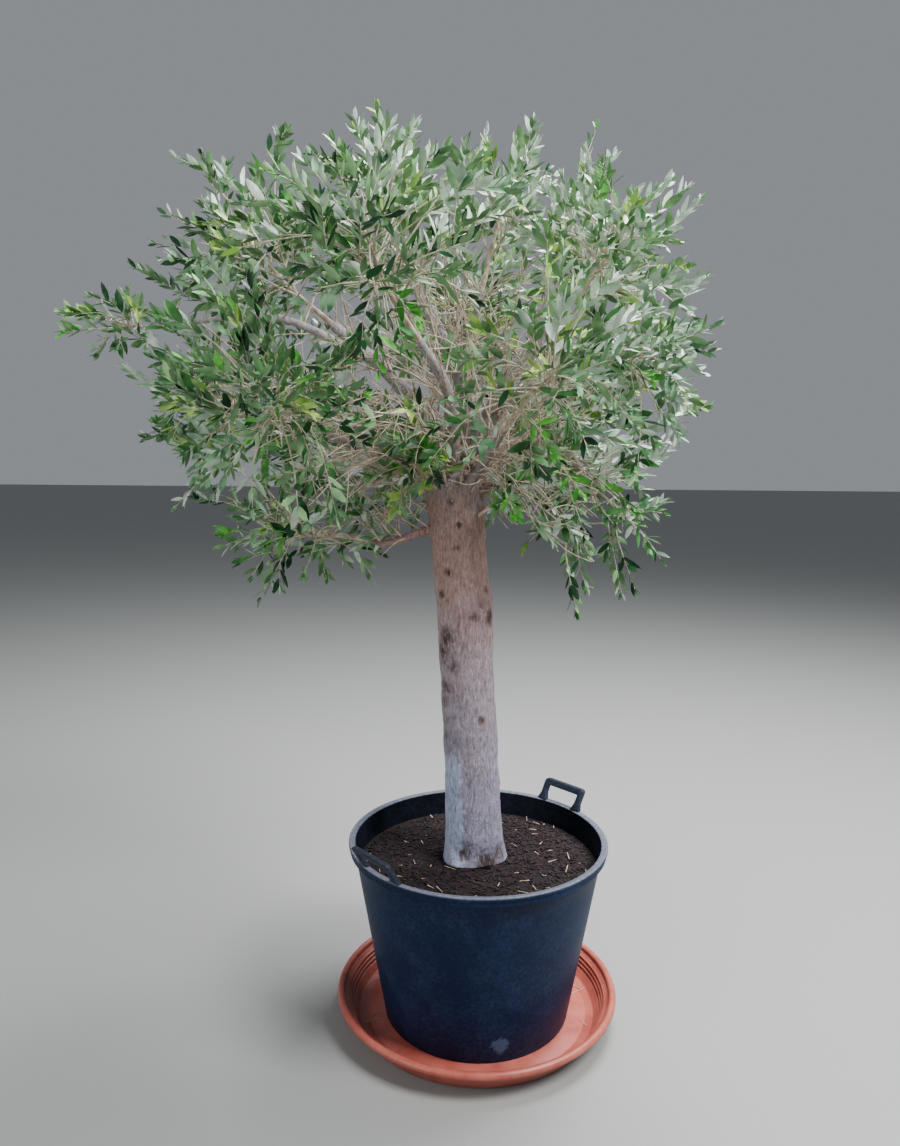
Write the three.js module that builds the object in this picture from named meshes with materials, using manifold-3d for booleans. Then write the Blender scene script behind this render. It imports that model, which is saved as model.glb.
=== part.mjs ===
// A potted olive tree: a short trunk with a round open crown, in a black tub on a terracotta saucer.
// Sizes are in millimetres. The origin is the middle of the saucer's flat underside, Z is up, and the
// front of the tree faces -Y, with +X to the right.

import * as THREE from 'three';
import { mergeVertices } from 'three/addons/utils/BufferGeometryUtils.js';
import Module from 'manifold-3d';

const wasm = await Module();
wasm.setup();

// Clearance that every piece keeps to the piece it rests on or grows from
const SEAT_GAP = 0.3;
const ROUND_SEGMENTS = 28;

// Saucer
const SAUCER_RADIUS = 329;
const SAUCER_HEIGHT = 59;
const SAUCER_FLOOR_RADIUS = 281;
const SAUCER_FLOOR = 8;
const SAUCER_WALL = 5;
const SAUCER_ROLL = 13;
const SAUCER_STEP = 2.5;
const SAUCER_STEP_SHARES = [0.62, 0.3];
const SAUCER_STEP_SLOPE = 0.02;

// Pot, measured from the underside of its own base
const POT_HEIGHT = 418;
const POT_BASE_RADIUS = 216;
const POT_TOP_RADIUS = 286;
const POT_RIM_RADIUS = 300;
const POT_WALL = 4;
const POT_FLOOR = 5;
const POT_FOOT_CHAMFER = 5;
const RIM_EDGE = 1;
const RIM_LIP = 15;
const RIM_SKIRT = 22;
const RIM_BEAD = 9;
const RIM_BEAD_PROUD = 3;
const POT_SEAT = SAUCER_FLOOR + SEAT_GAP;
const POT_TOP = POT_SEAT + POT_HEIGHT;

// Two carrying handles that stand on the rim, across the pot from each other
const HANDLE_TURN = 45;
const HANDLE_WIDTH = 120;
const HANDLE_RISE = 46;
const HANDLE_BAR = 12;
const HANDLE_FOOT_FLARE = 7;
const HANDLE_CORNER = 8;
const HANDLE_CORNER_SEGMENTS = 3;
const HANDLE_THICKNESS = 9;
const HANDLE_LEAN = 0.4;

// Soil
const SOIL_BELOW_RIM = 51;
const SOIL_SLOPE = 6;
const SOIL_FLAT_RADIUS = 140;
const SOIL_TOP = POT_TOP - SOIL_BELOW_RIM;

// Trunk
const TRUNK_FOOT = SOIL_TOP + SEAT_GAP;
const TRUNK_HEAD = 1268;
const TRUNK_FOOT_X = -10;
const TRUNK_LEAN = -54;
const TRUNK_RADIUS = 60;
const TRUNK_TAPER = 3;
const FLARE_RADIUS = 12;
const FLARE_REACH = 70;
const ROOT_RIDGE = 5;
const ROOT_REACH = 45;
const ROOT_COUNT = 3;
const ROOT_TURN = 0.4;
const COLLAR_RADIUS = 9;
const COLLAR_HEIGHT = 955;
const COLLAR_REACH = 55;
const COLLAR_TURN = 0.3;
const HEAD_RADIUS = 7;
const HEAD_REACH = 70;
const HEAD_DOME = 34;
const HEAD_FLAT = 0.4;
const TRUNK_SIDES = 14;
const TRUNK_RINGS = 16;
const TRUNK_STRETCH = 40;
const TRUNK_STRETCHES = 8;

// Crown
const CROWN_AXIS_X = -140;
const CROWN_HEART = new THREE.Vector3(-80, 0, 1330);
const BOUGH_SIDES = 6;
const BOUGH_RINGS = 4;
const BOUGH_END = 0.8;
const STUB_LENGTH = 0.45;
const STEM_SIDES = 4;
const TWIG_SIDES = 3;
const STEM_RADIUS = 8;
const STEM_TIP_RADIUS = 4.5;
const TWIG_RADIUS = 4.5;
const TWIG_TIP_RADIUS = 3.8;
const LEAF_LENGTH = 126;
const LEAF_WIDTH = 40;
const LEAF_THICKNESS = 5;
const LEAF_WIDEST = 0.38;
const TIP_LEAF_SINK = 4;
const LEAF_SPREAD = 56;
const LEAF_SHARE = 0.76;
const LEAF_SPACING = 26;
const LEAF_TILT = 1.0;
const SPREAD_VARIES = 0.4;
const SHORTEST_LEAF = 0.84;
const LENGTH_VARIES = 0.22;
const LEAF_SIZES = [1, 0.75, 0.5];
const LEAF_SPINE = [0.3, 0.55, 0.8];
const TWIGS_PER_MASS = 6;
const FEWEST_TWIGS = 4;
const TWIG_BOW = 0.14;
const BACK_LIMIT = -0.4;
const FIRST_TWIG = 0.3;
const LAST_TWIG = 0.8;
const STEM_ELBOW = 0.6;
const STEM_END = 0.05;
const INNER_STEM_DROP = 90;
const MASS_SIZE = 215;
const FIRST_SEED = 11;
const RANDOM_FACTOR = 48271;
const RANDOM_SIZE = 2147483647;
const FIT_STEPS = 6;
const FIT_TIP = 0.15;
const SPACE_MARGIN = 2;
const TIP_ROOM = 10;
const LIMB_MARGIN = 4;

// Where leaves stand on a twig: at a share of its length, one on each side, and one at the tip
const LEAF_PLACES = [
    { share: 0.35, crossed: false, turn: 1 },
    { share: 0.35, crossed: false, turn: -1 },
    { share: 0.6, crossed: true, turn: 1 },
    { share: 0.6, crossed: true, turn: -1 },
    { share: 0.85, crossed: false, turn: 1 },
    { share: 0.85, crossed: false, turn: -1 },
    { share: 1, crossed: false, turn: 0 },
];

// Boughs: the limb that each grows on, the height on the trunk (or the share of the other bough's length)
// where it starts, a point that it passes through, and its radii at root and tip
const BOUGHS = [
    { name: 'centre_bough', on: 'trunk', at: 1225, through: [-30, 12, 1400], root: 23, tip: 12 },
    { name: 'right_bough', on: 'trunk', at: 1215, through: [36, -8, 1440], root: 22, tip: 11 },
    { name: 'left_bough', on: 'trunk', at: 1225, through: [-168, -12, 1440], root: 22, tip: 12 },
    { name: 'sawn_stub', on: 'trunk', at: 1205, through: [-112, -26, 1262], root: 18, tip: 15 },
    { name: 'left_side_bough', on: 'trunk', at: 1238, through: [-225, 22, 1302], root: 15, tip: 9 },
    { name: 'lower_left_bough', on: 'trunk', at: 1165, through: [-215, -30, 1112], root: 13, tip: 7 },
    { name: 'lower_right_bough', on: 'trunk', at: 1205, through: [92, 16, 1268], root: 14, tip: 8 },
    { name: 'front_left_bough', on: 'trunk', at: 1205, through: [-215, -70, 1335], root: 15, tip: 8 },
    { name: 'front_right_bough', on: 'trunk', at: 1200, through: [22, -135, 1318], root: 15, tip: 8 },
    { name: 'front_upper_bough', on: 'trunk', at: 1235, through: [-72, -112, 1435], root: 17, tip: 9 },
    { name: 'back_upper_bough', on: 'trunk', at: 1230, through: [-80, 125, 1440], root: 19, tip: 10 },
    { name: 'back_left_bough', on: 'trunk', at: 1215, through: [-190, 135, 1318], root: 15, tip: 8 },
    { name: 'back_right_bough', on: 'trunk', at: 1215, through: [30, 150, 1318], root: 16, tip: 8 },
    { name: 'back_low_bough', on: 'trunk', at: 1175, through: [-85, 140, 1225], root: 13, tip: 8 },
    { name: 'top_right_bough', on: 'centre_bough', at: 0.5, through: [-22, 40, 1600], root: 13, tip: 8 },
    { name: 'right_side_bough', on: 'right_bough', at: 0.35, through: [95, -30, 1455], root: 13, tip: 8 },
    { name: 'reaching_bough', on: 'left_bough', at: 0.72, through: [-450, -30, 1600], root: 11, tip: 6 },
];

// Masses of foliage: each keeps to a ball beside the crown's axis. turn is measured from +X towards the
// back, out is the distance from the axis, and size is the ball's radius.
const MASSES = [
    { name: 'top', bough: 'centre_bough', turn: 157, out: 105, height: 1872, size: 216 },
    { name: 'top_right', bough: 'top_right_bough', turn: 12, out: 175, height: 1825, size: 205 },
    { name: 'upper_right', bough: 'right_bough', turn: 0, out: 395, height: 1722, size: 252 },
    { name: 'right', bough: 'right_side_bough', turn: -10, out: 430, height: 1478, size: 228 },
    { name: 'lower_right', bough: 'lower_right_bough', turn: 8, out: 398, height: 1190, size: 246 },
    { name: 'lower_left', bough: 'lower_left_bough', turn: 176, out: 290, height: 1160, size: 236 },
    { name: 'left', bough: 'left_side_bough', turn: 182, out: 415, height: 1430, size: 232 },
    { name: 'upper_left', bough: 'left_bough', turn: 174, out: 352, height: 1735, size: 268 },
    { name: 'left_reach', bough: 'reaching_bough', turn: 181, out: 655, height: 1585, size: 178 },
    { name: 'front_upper', bough: 'front_upper_bough', turn: 262, out: 348, height: 1640, size: 232 },
    { name: 'front_right', bough: 'front_right_bough', turn: 307, out: 400, height: 1432, size: 216 },
    { name: 'front_left', bough: 'front_left_bough', turn: 233, out: 400, height: 1410, size: 216 },
    { name: 'back_upper', bough: 'back_upper_bough', turn: 80, out: 348, height: 1680, size: 236 },
    { name: 'back_right', bough: 'back_right_bough', turn: 40, out: 430, height: 1430, size: 226 },
    { name: 'back_left', bough: 'back_left_bough', turn: 137, out: 430, height: 1430, size: 226 },
    { name: 'back_low', bough: 'back_low_bough', turn: 88, out: 390, height: 1285, size: 196 },
    { name: 'inner_left', bough: 'trunk', turn: 274, out: 128, height: 1305, size: 105 },
    { name: 'inner_right', bough: 'trunk', turn: -22, out: 215, height: 1225, size: 105 },
];

// Colours of the real thing, taken as plain surface colours
const FINISHES = {
    pot: { color: 0x1b222c, roughness: 0.5, metalness: 0 },
    saucer: { color: 0xb5604a, roughness: 0.55, metalness: 0 },
    soil: { color: 0x2f211b, roughness: 1, metalness: 0 },
    bark: { color: 0x8b7768, roughness: 0.9, metalness: 0 },
    foliage: { color: 0x76875a, roughness: 0.6, metalness: 0 },
};

// Turns a closed three.js geometry into a solid, with its faces pointing out
function solidOf(geometry) {
    const bare = geometry.clone();
    bare.deleteAttribute('normal');
    bare.deleteAttribute('uv');
    const merged = mergeVertices(bare, 1e-4);
    const corners = merged.index.array;
    const faces = [];
    for (let i = 0; i < corners.length; i += 3) {
        const [a, b, c] = [corners[i], corners[i + 1], corners[i + 2]];
        if (a !== b && b !== c && c !== a) faces.push(a, b, c);
    }
    const build = (list) => new wasm.Manifold(new wasm.Mesh({
        numProp: 3,
        vertProperties: new Float32Array(merged.attributes.position.array),
        triVerts: new Uint32Array(list),
    }));
    const solid = build(faces);
    return solid.volume() > 0 ? solid : build(faces.reverse());
}

// Turns a solid back into a three.js geometry
function geometryOf(solid) {
    const mesh = solid.getMesh();
    const geometry = new THREE.BufferGeometry();
    geometry.setAttribute('position', new THREE.BufferAttribute(mesh.vertProperties, 3));
    geometry.setIndex(new THREE.BufferAttribute(mesh.triVerts, 1));
    geometry.computeVertexNormals();
    return geometry;
}

// The largest piece of a solid: loose scraps and the skins of sealed hollows are left out
function mainPiece(solid) {
    const pieces = solid.decompose();
    return pieces.reduce((best, piece) => (piece.volume() > best.volume() ? piece : best));
}

function meshOf(name, finish, geometry) {
    const mesh = new THREE.Mesh(geometry, new THREE.MeshStandardMaterial(FINISHES[finish]));
    mesh.name = name;
    return mesh;
}

// A round piece about the vertical axis, from a closed run of [radius, height] points
function turned(profile) {
    const points = profile.map(([radius, height]) => new THREE.Vector2(radius, height));
    const geometry = new THREE.LatheGeometry(points, ROUND_SEGMENTS);
    geometry.rotateX(Math.PI / 2);
    return geometryOf(solidOf(geometry));
}

// Saucer: a flat underside, a sloping wall with two steps inside, and a rolled rim
function saucer() {
    const rollInner = SAUCER_RADIUS - SAUCER_ROLL;
    const slope = rollInner - SAUCER_FLOOR_RADIUS;
    const wallRise = SAUCER_HEIGHT - SAUCER_FLOOR;
    const step = (share, side) => [
        SAUCER_FLOOR_RADIUS + slope * share + side * SAUCER_STEP,
        SAUCER_FLOOR + wallRise * share,
    ];
    return meshOf('saucer', 'saucer', turned([
        [0, 0],
        [SAUCER_FLOOR_RADIUS - SAUCER_WALL, 0],
        [SAUCER_FLOOR_RADIUS + SAUCER_WALL, SAUCER_FLOOR],
        [rollInner + SAUCER_WALL / 2, SAUCER_HEIGHT - SAUCER_ROLL],
        [SAUCER_RADIUS, SAUCER_HEIGHT - SAUCER_ROLL * 0.7],
        [SAUCER_RADIUS, SAUCER_HEIGHT - SAUCER_ROLL * 0.25],
        [SAUCER_RADIUS - SAUCER_ROLL / 2, SAUCER_HEIGHT],
        [rollInner, SAUCER_HEIGHT - SAUCER_ROLL * 0.25],
        ...SAUCER_STEP_SHARES.flatMap((share) => [step(share, 1), step(share - SAUCER_STEP_SLOPE, -1)]),
        [SAUCER_FLOOR_RADIUS - SAUCER_WALL, SAUCER_FLOOR],
        [0, SAUCER_FLOOR],
    ]));
}

// Outer radius of the pot's plain wall at a height above its base
function potWallRadius(height) {
    return POT_BASE_RADIUS + (POT_TOP_RADIUS - POT_BASE_RADIUS) * (height / (POT_HEIGHT - RIM_SKIRT));
}

// Pot: a tapered tub with a wide flat lip, a bead along its edge and a short skirt below
function pot() {
    const skirtRadius = POT_RIM_RADIUS - RIM_BEAD_PROUD;
    const lipInner = POT_RIM_RADIUS - RIM_LIP;
    const mesh = meshOf('pot', 'pot', turned([
        [0, 0],
        [POT_BASE_RADIUS - POT_FOOT_CHAMFER, 0],
        [potWallRadius(POT_FOOT_CHAMFER), POT_FOOT_CHAMFER],
        [POT_TOP_RADIUS, POT_HEIGHT - RIM_SKIRT],
        [skirtRadius, POT_HEIGHT - RIM_SKIRT],
        [skirtRadius, POT_HEIGHT - RIM_BEAD],
        [POT_RIM_RADIUS, POT_HEIGHT - RIM_BEAD],
        [POT_RIM_RADIUS, POT_HEIGHT - RIM_EDGE],
        [POT_RIM_RADIUS - RIM_EDGE, POT_HEIGHT],
        [lipInner, POT_HEIGHT],
        [POT_TOP_RADIUS - POT_WALL, POT_HEIGHT - RIM_SKIRT],
        [potWallRadius(POT_FLOOR) - POT_WALL, POT_FLOOR],
        [0, POT_FLOOR],
    ]));
    mesh.position.z = POT_SEAT;
    return mesh;
}

// Soil: fills the pot from its floor, flat round the trunk and a little lower at the wall
function soil() {
    const clear = POT_WALL + SEAT_GAP;
    const bottom = POT_FLOOR + SEAT_GAP;
    const edge = POT_HEIGHT - SOIL_BELOW_RIM - SOIL_SLOPE;
    const mesh = meshOf('soil', 'soil', turned([
        [0, bottom],
        [potWallRadius(bottom) - clear, bottom],
        [potWallRadius(edge) - clear, edge],
        [SOIL_FLAT_RADIUS, POT_HEIGHT - SOIL_BELOW_RIM],
        [0, POT_HEIGHT - SOIL_BELOW_RIM],
    ]));
    mesh.position.z = POT_SEAT;
    return mesh;
}

// A handle: a flat loop with rounded corners and flared feet, leaning out from the pot
function handleGeometry() {
    const half = HANDLE_WIDTH / 2;
    const inner = half - HANDLE_BAR;
    const crown = HANDLE_RISE - HANDLE_BAR;
    const loop = new THREE.Shape();
    loop.moveTo(-half - HANDLE_FOOT_FLARE, 0);
    loop.lineTo(-inner + HANDLE_FOOT_FLARE, 0);
    loop.lineTo(-inner, HANDLE_FOOT_FLARE * 2);
    loop.lineTo(-inner, crown);
    loop.lineTo(inner, crown);
    loop.lineTo(inner, HANDLE_FOOT_FLARE * 2);
    loop.lineTo(inner - HANDLE_FOOT_FLARE, 0);
    loop.lineTo(half + HANDLE_FOOT_FLARE, 0);
    loop.lineTo(half, HANDLE_FOOT_FLARE * 2);
    loop.lineTo(half, HANDLE_RISE - HANDLE_CORNER);
    loop.quadraticCurveTo(half, HANDLE_RISE, half - HANDLE_CORNER, HANDLE_RISE);
    loop.lineTo(-half + HANDLE_CORNER, HANDLE_RISE);
    loop.quadraticCurveTo(-half, HANDLE_RISE, -half, HANDLE_RISE - HANDLE_CORNER);
    loop.lineTo(-half, HANDLE_FOOT_FLARE * 2);
    const flat = { depth: HANDLE_THICKNESS, bevelEnabled: false, curveSegments: HANDLE_CORNER_SEGMENTS };
    const geometry = new THREE.ExtrudeGeometry(loop, flat);
    geometry.translate(0, 0, -HANDLE_THICKNESS / 2);
    geometry.rotateX(Math.PI / 2);
    const lean = new THREE.Matrix4().set(1, 0, 0, 0, 0, 1, -HANDLE_LEAN, 0, 0, 0, 1, 0, 0, 0, 0, 1);
    geometry.applyMatrix4(lean);
    return geometryOf(solidOf(geometry));
}

// Handles: the feet of each stand in the middle of the rim's lip
function handle(name, turn) {
    const mesh = meshOf(name, 'pot', handleGeometry());
    const footOut = HANDLE_WIDTH / 2 - HANDLE_BAR / 2;
    const lipMiddle = POT_RIM_RADIUS - RIM_LIP / 2;
    const away = Math.sqrt(lipMiddle ** 2 - footOut ** 2);
    const angle = THREE.MathUtils.degToRad(turn);
    mesh.position.set(away * Math.cos(angle), away * Math.sin(angle), POT_TOP + SEAT_GAP);
    mesh.rotation.z = angle + Math.PI / 2;
    return mesh;
}

// How far the trunk's axis has leaned from the pot's middle at a height
function trunkAxisX(height) {
    const share = Math.max(0, (height - TRUNK_FOOT) / (TRUNK_HEAD - TRUNK_FOOT));
    return TRUNK_FOOT_X + TRUNK_LEAN * share ** 1.5;
}

// Trunk radius: a slow taper, a flared and ridged foot, an old collar on the right and a swollen head
function trunkRadius(height, angle) {
    const rise = height - TRUNK_FOOT;
    const share = rise / (TRUNK_HEAD - TRUNK_FOOT);
    const bell = (middle, reach) => Math.exp(-(((height - middle) / reach) ** 2));
    let radius = TRUNK_RADIUS + TRUNK_TAPER * (1 - share);
    radius += FLARE_RADIUS * Math.exp(-rise / FLARE_REACH);
    radius += ROOT_RIDGE * Math.cos(ROOT_COUNT * angle + ROOT_TURN) * Math.exp(-rise / ROOT_REACH);
    const collar = COLLAR_RADIUS * Math.max(0, Math.cos(angle + COLLAR_TURN));
    radius += collar * bell(COLLAR_HEIGHT, COLLAR_REACH);
    radius += HEAD_RADIUS * bell(TRUNK_HEAD - HEAD_DOME, HEAD_REACH);
    const intoDome = Math.max(0, height - (TRUNK_HEAD - HEAD_DOME)) / HEAD_DOME;
    return radius * Math.sqrt(Math.max(HEAD_FLAT ** 2, 1 - intoDome ** 2));
}

function trunkSolid(extra) {
    const geometry = new THREE.CylinderGeometry(1, 1, 1, TRUNK_SIDES, TRUNK_RINGS);
    const place = geometry.attributes.position;
    for (let i = 0; i < place.count; i += 1) {
        const height = TRUNK_FOOT + (place.getY(i) + 0.5) * (TRUNK_HEAD - TRUNK_FOOT);
        const angle = Math.atan2(-place.getZ(i), place.getX(i));
        const inner = Math.hypot(place.getX(i), place.getZ(i)) < 0.5;
        const radius = inner ? 0 : trunkRadius(height, angle) + extra;
        const lift = place.getY(i) > 0.49 ? extra : 0;
        const x = trunkAxisX(height) + radius * Math.cos(angle);
        place.setXYZ(i, x, radius * Math.sin(angle), height + lift);
    }
    return solidOf(geometry);
}

// A tapering tube along a run of points, its end faces square to the first and last stretches
function tubeSolid(points, radii, sides) {
    const last = points.length - 1;
    const geometry = new THREE.CylinderGeometry(1, 1, 1, sides, last);
    const ways = points.map((point, i) => {
        const before = point.clone().sub(points[Math.max(0, i - 1)]).normalize();
        const after = points[Math.min(last, i + 1)].clone().sub(point).normalize();
        return before.add(after).normalize();
    });
    const start = Math.abs(ways[0].z) > 0.8 ? new THREE.Vector3(1, 0, 0) : new THREE.Vector3(0, 0, 1);
    const sidesOut = [];
    ways.reduce((side, way) => {
        const next = side.clone().addScaledVector(way, -side.dot(way)).normalize();
        sidesOut.push(next);
        return next;
    }, start);
    const place = geometry.attributes.position;
    for (let i = 0; i < place.count; i += 1) {
        const ring = Math.round((place.getY(i) + 0.5) * last);
        const across = new THREE.Vector3().crossVectors(ways[ring], sidesOut[ring]);
        const spot = points[ring].clone();
        spot.addScaledVector(sidesOut[ring], place.getX(i) * radii[ring]);
        spot.addScaledVector(across, place.getZ(i) * radii[ring]);
        place.setXYZ(i, spot.x, spot.y, spot.z);
    }
    return solidOf(geometry);
}

// The middle of a mass, from its turn, distance and height about the crown's axis
function massCentre(mass) {
    const angle = THREE.MathUtils.degToRad(mass.turn);
    return new THREE.Vector3(
        CROWN_AXIS_X + mass.out * Math.cos(angle),
        mass.out * Math.sin(angle),
        mass.height,
    );
}

// A bough's axis: from inside its parent, through its middle point, to where it enters its mass
function boughAxis(bough, axes) {
    const middle = new THREE.Vector3(...bough.through);
    const root = bough.on === 'trunk'
        ? new THREE.Vector3(trunkAxisX(bough.at), 0, bough.at)
        : axes[bough.on].curve.getPointAt(bough.at);
    const mass = MASSES.find((each) => each.bough === bough.name);
    let tip = middle.clone().lerp(root, -STUB_LENGTH);
    if (mass) {
        const centre = massCentre(mass);
        tip = centre.clone().lerp(middle, (mass.size * BOUGH_END) / centre.distanceTo(middle));
    }
    const curve = new THREE.CatmullRomCurve3([root, middle, tip]);
    const points = curve.getSpacedPoints(BOUGH_RINGS);
    const radii = points.map((_, i) => bough.root + (bough.tip - bough.root) * (i / BOUGH_RINGS));
    return { curve, points, radii };
}

function boughAxes() {
    const axes = {};
    BOUGHS.forEach((bough) => {
        axes[bough.name] = boughAxis(bough, axes);
    });
    return axes;
}

// Boughs as solids, each cut back from the trunk and from the boughs that were made before it
function boughSolids(axes) {
    const cutters = [trunkSolid(SEAT_GAP)];
    return BOUGHS.map((bough) => {
        const { points, radii } = axes[bough.name];
        const whole = tubeSolid(points, radii, BOUGH_SIDES);
        const solid = mainPiece(whole.subtract(wasm.Manifold.union(cutters)));
        cutters.push(tubeSolid(points, radii.map((radius) => radius + SEAT_GAP), BOUGH_SIDES));
        return { name: bough.name, solid };
    });
}

// Every limb as short stretches with a radius, for keeping twigs and leaves clear of them
function limbStretches(axes) {
    const stretches = [];
    const add = (name, points, radii) => {
        for (let i = 0; i + 1 < points.length; i += 1) {
            const radius = Math.max(radii[i], radii[i + 1]);
            stretches.push({ name, a: points[i], b: points[i + 1], radius });
        }
    };
    const heights = Array.from({ length: TRUNK_STRETCHES + 1 }, (_, i) => TRUNK_HEAD - TRUNK_STRETCH * i);
    const trunkPoints = heights.map((height) => new THREE.Vector3(trunkAxisX(height), 0, height));
    add('trunk', trunkPoints, heights.map(() => TRUNK_RADIUS + HEAD_RADIUS + COLLAR_RADIUS));
    Object.entries(axes).forEach(([name, axis]) => add(name, axis.points, axis.radii));
    return stretches;
}

function stretchGap(point, stretch) {
    const along = stretch.b.clone().sub(stretch.a);
    const share = point.clone().sub(stretch.a).dot(along) / along.lengthSq();
    const nearest = stretch.a.clone().addScaledVector(along, Math.min(1, Math.max(0, share)));
    return point.distanceTo(nearest) - stretch.radius;
}

// Distance from a point to the edge of a mass's own space: its ball, and the flat borders with the others
function roomAt(mass, point) {
    let room = mass.size - point.distanceTo(mass.centre);
    MASSES.forEach((other) => {
        if (other === mass) return;
        const across = other.centre.clone().sub(mass.centre);
        const apart = across.length();
        const border = (apart ** 2 + mass.size ** 2 - other.size ** 2) / (2 * apart);
        room = Math.min(room, border - point.clone().sub(mass.centre).dot(across) / apart);
    });
    return room;
}

// True where a straight piece of a given half width stays in its mass's space and off every limb
function fits(mass, stretches, from, to, halfWidth) {
    for (let i = 1; i <= FIT_STEPS; i += 1) {
        const share = i / FIT_STEPS;
        const point = from.clone().lerp(to, share);
        const width = halfWidth * Math.min(1, 2 * share, 2 * (1 + FIT_TIP - share));
        if (roomAt(mass, point) < width + SPACE_MARGIN) return false;
        if (stretches.some((stretch) => stretchGap(point, stretch) < width + LIMB_MARGIN)) return false;
    }
    return true;
}

// A seeded run of even random numbers from 0 to 1
function randomRun(seed) {
    let state = seed;
    const next = () => {
        state = (state * RANDOM_FACTOR) % RANDOM_SIZE;
        return state / RANDOM_SIZE;
    };
    for (let i = 0; i < 3; i += 1) next();
    return next;
}

// A point at a share of the way along a path of two stretches
function alongPath([start, middle, end], share) {
    if (share < 0.5) return start.clone().lerp(middle, share * 2);
    return middle.clone().lerp(end, share * 2 - 1);
}

// Evenly spread directions, by the golden angle
function spreadDirection(index, count, turn) {
    const z = 1 - (2 * index + 1) / count;
    const around = index * Math.PI * (3 - Math.sqrt(5)) + turn;
    const flat = Math.sqrt(1 - z * z);
    return new THREE.Vector3(flat * Math.cos(around), flat * Math.sin(around), z);
}

// A leaf of eight faces: root, tip, two edges and a slight ridge above and below
function leafSolid(root, way, normal, length) {
    const side = new THREE.Vector3().crossVectors(way, normal).normalize();
    const flat = new THREE.Vector3().crossVectors(side, way);
    const geometry = new THREE.OctahedronGeometry(1);
    const place = geometry.attributes.position;
    const width = LEAF_WIDTH * (length / LEAF_LENGTH);
    for (let i = 0; i < place.count; i += 1) {
        const atEnd = Math.abs(place.getX(i)) > 0.5;
        const along = atEnd ? (place.getX(i) + 1) / 2 : LEAF_WIDEST;
        const spot = root.clone().addScaledVector(way, along * length);
        spot.addScaledVector(side, place.getY(i) * width / 2);
        spot.addScaledVector(flat, place.getZ(i) * LEAF_THICKNESS / 2);
        place.setXYZ(i, spot.x, spot.y, spot.z);
    }
    return solidOf(geometry);
}

// The way that a mass faces, out from the crown's heart
function outwardOf(mass) {
    return mass.centre.clone().sub(CROWN_HEART).normalize();
}

// A mass's stem: on from its bough's tip, or out of the trunk, then turning outward past the mass's middle
function stemOf(mass, axes) {
    const end = mass.centre.clone().addScaledVector(outwardOf(mass), mass.size * STEM_END);
    let start = new THREE.Vector3(trunkAxisX(mass.height), 0, mass.height - INNER_STEM_DROP);
    let way = mass.centre.clone().sub(start).normalize();
    if (mass.bough !== 'trunk') {
        const [before, tip] = axes[mass.bough].points.slice(-2);
        way = tip.clone().sub(before).normalize();
        start = tip.clone().addScaledVector(way, SEAT_GAP);
    }
    const elbow = start.clone().addScaledVector(way, start.distanceTo(mass.centre) * STEM_ELBOW);
    return [start, elbow, end];
}

// Growth: a leader follows the stem outward, other twigs leave it towards evenly spread points of the
// mass's space, and all bear leaves
function growMass(mass, axes, stretches) {
    const random = randomRun(FIRST_SEED + MASSES.indexOf(mass));
    const outward = outwardOf(mass);
    const stem = stemOf(mass, axes);
    const count = Math.max(FEWEST_TWIGS, Math.round((mass.size / MASS_SIZE) ** 2 * TWIGS_PER_MASS));
    const leafLength = Math.min(LEAF_LENGTH, mass.size * LEAF_SHARE);
    const turn = random() * Math.PI * 2;
    const twigs = [];
    const leaves = [];
    for (let i = 0; i < count; i += 1) {
        const way = i === 0 ? outward.clone() : spreadDirection(i, count, turn);
        const facing = way.dot(outward);
        const turned = Math.max(0, (facing - BACK_LIMIT) / (1 - BACK_LIMIT));
        const share = FIRST_TWIG + (LAST_TWIG - FIRST_TWIG) * turned;
        const from = alongPath(stem, share);
        const reach = mass.size - leafLength - TIP_ROOM * (1 + random());
        const to = mass.centre.clone().addScaledVector(way, reach);
        const bow = from.distanceTo(to) * TWIG_BOW;
        const bend = from.clone().lerp(to, 0.5).addScaledVector(outward, bow * (0.4 + 0.6 * random()));
        const twig = [from, bend, to];
        const clear = (a, b) => fits(mass, stretches, a, b, TWIG_RADIUS);
        if (facing > BACK_LIMIT && clear(from, bend) && clear(bend, to)) {
            twigs.push(twig);
            addLeaves({ mass, stretches, twig, leafLength, random, outward, leaves });
        }
    }
    return { stem, twigs, leaves };
}

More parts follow.
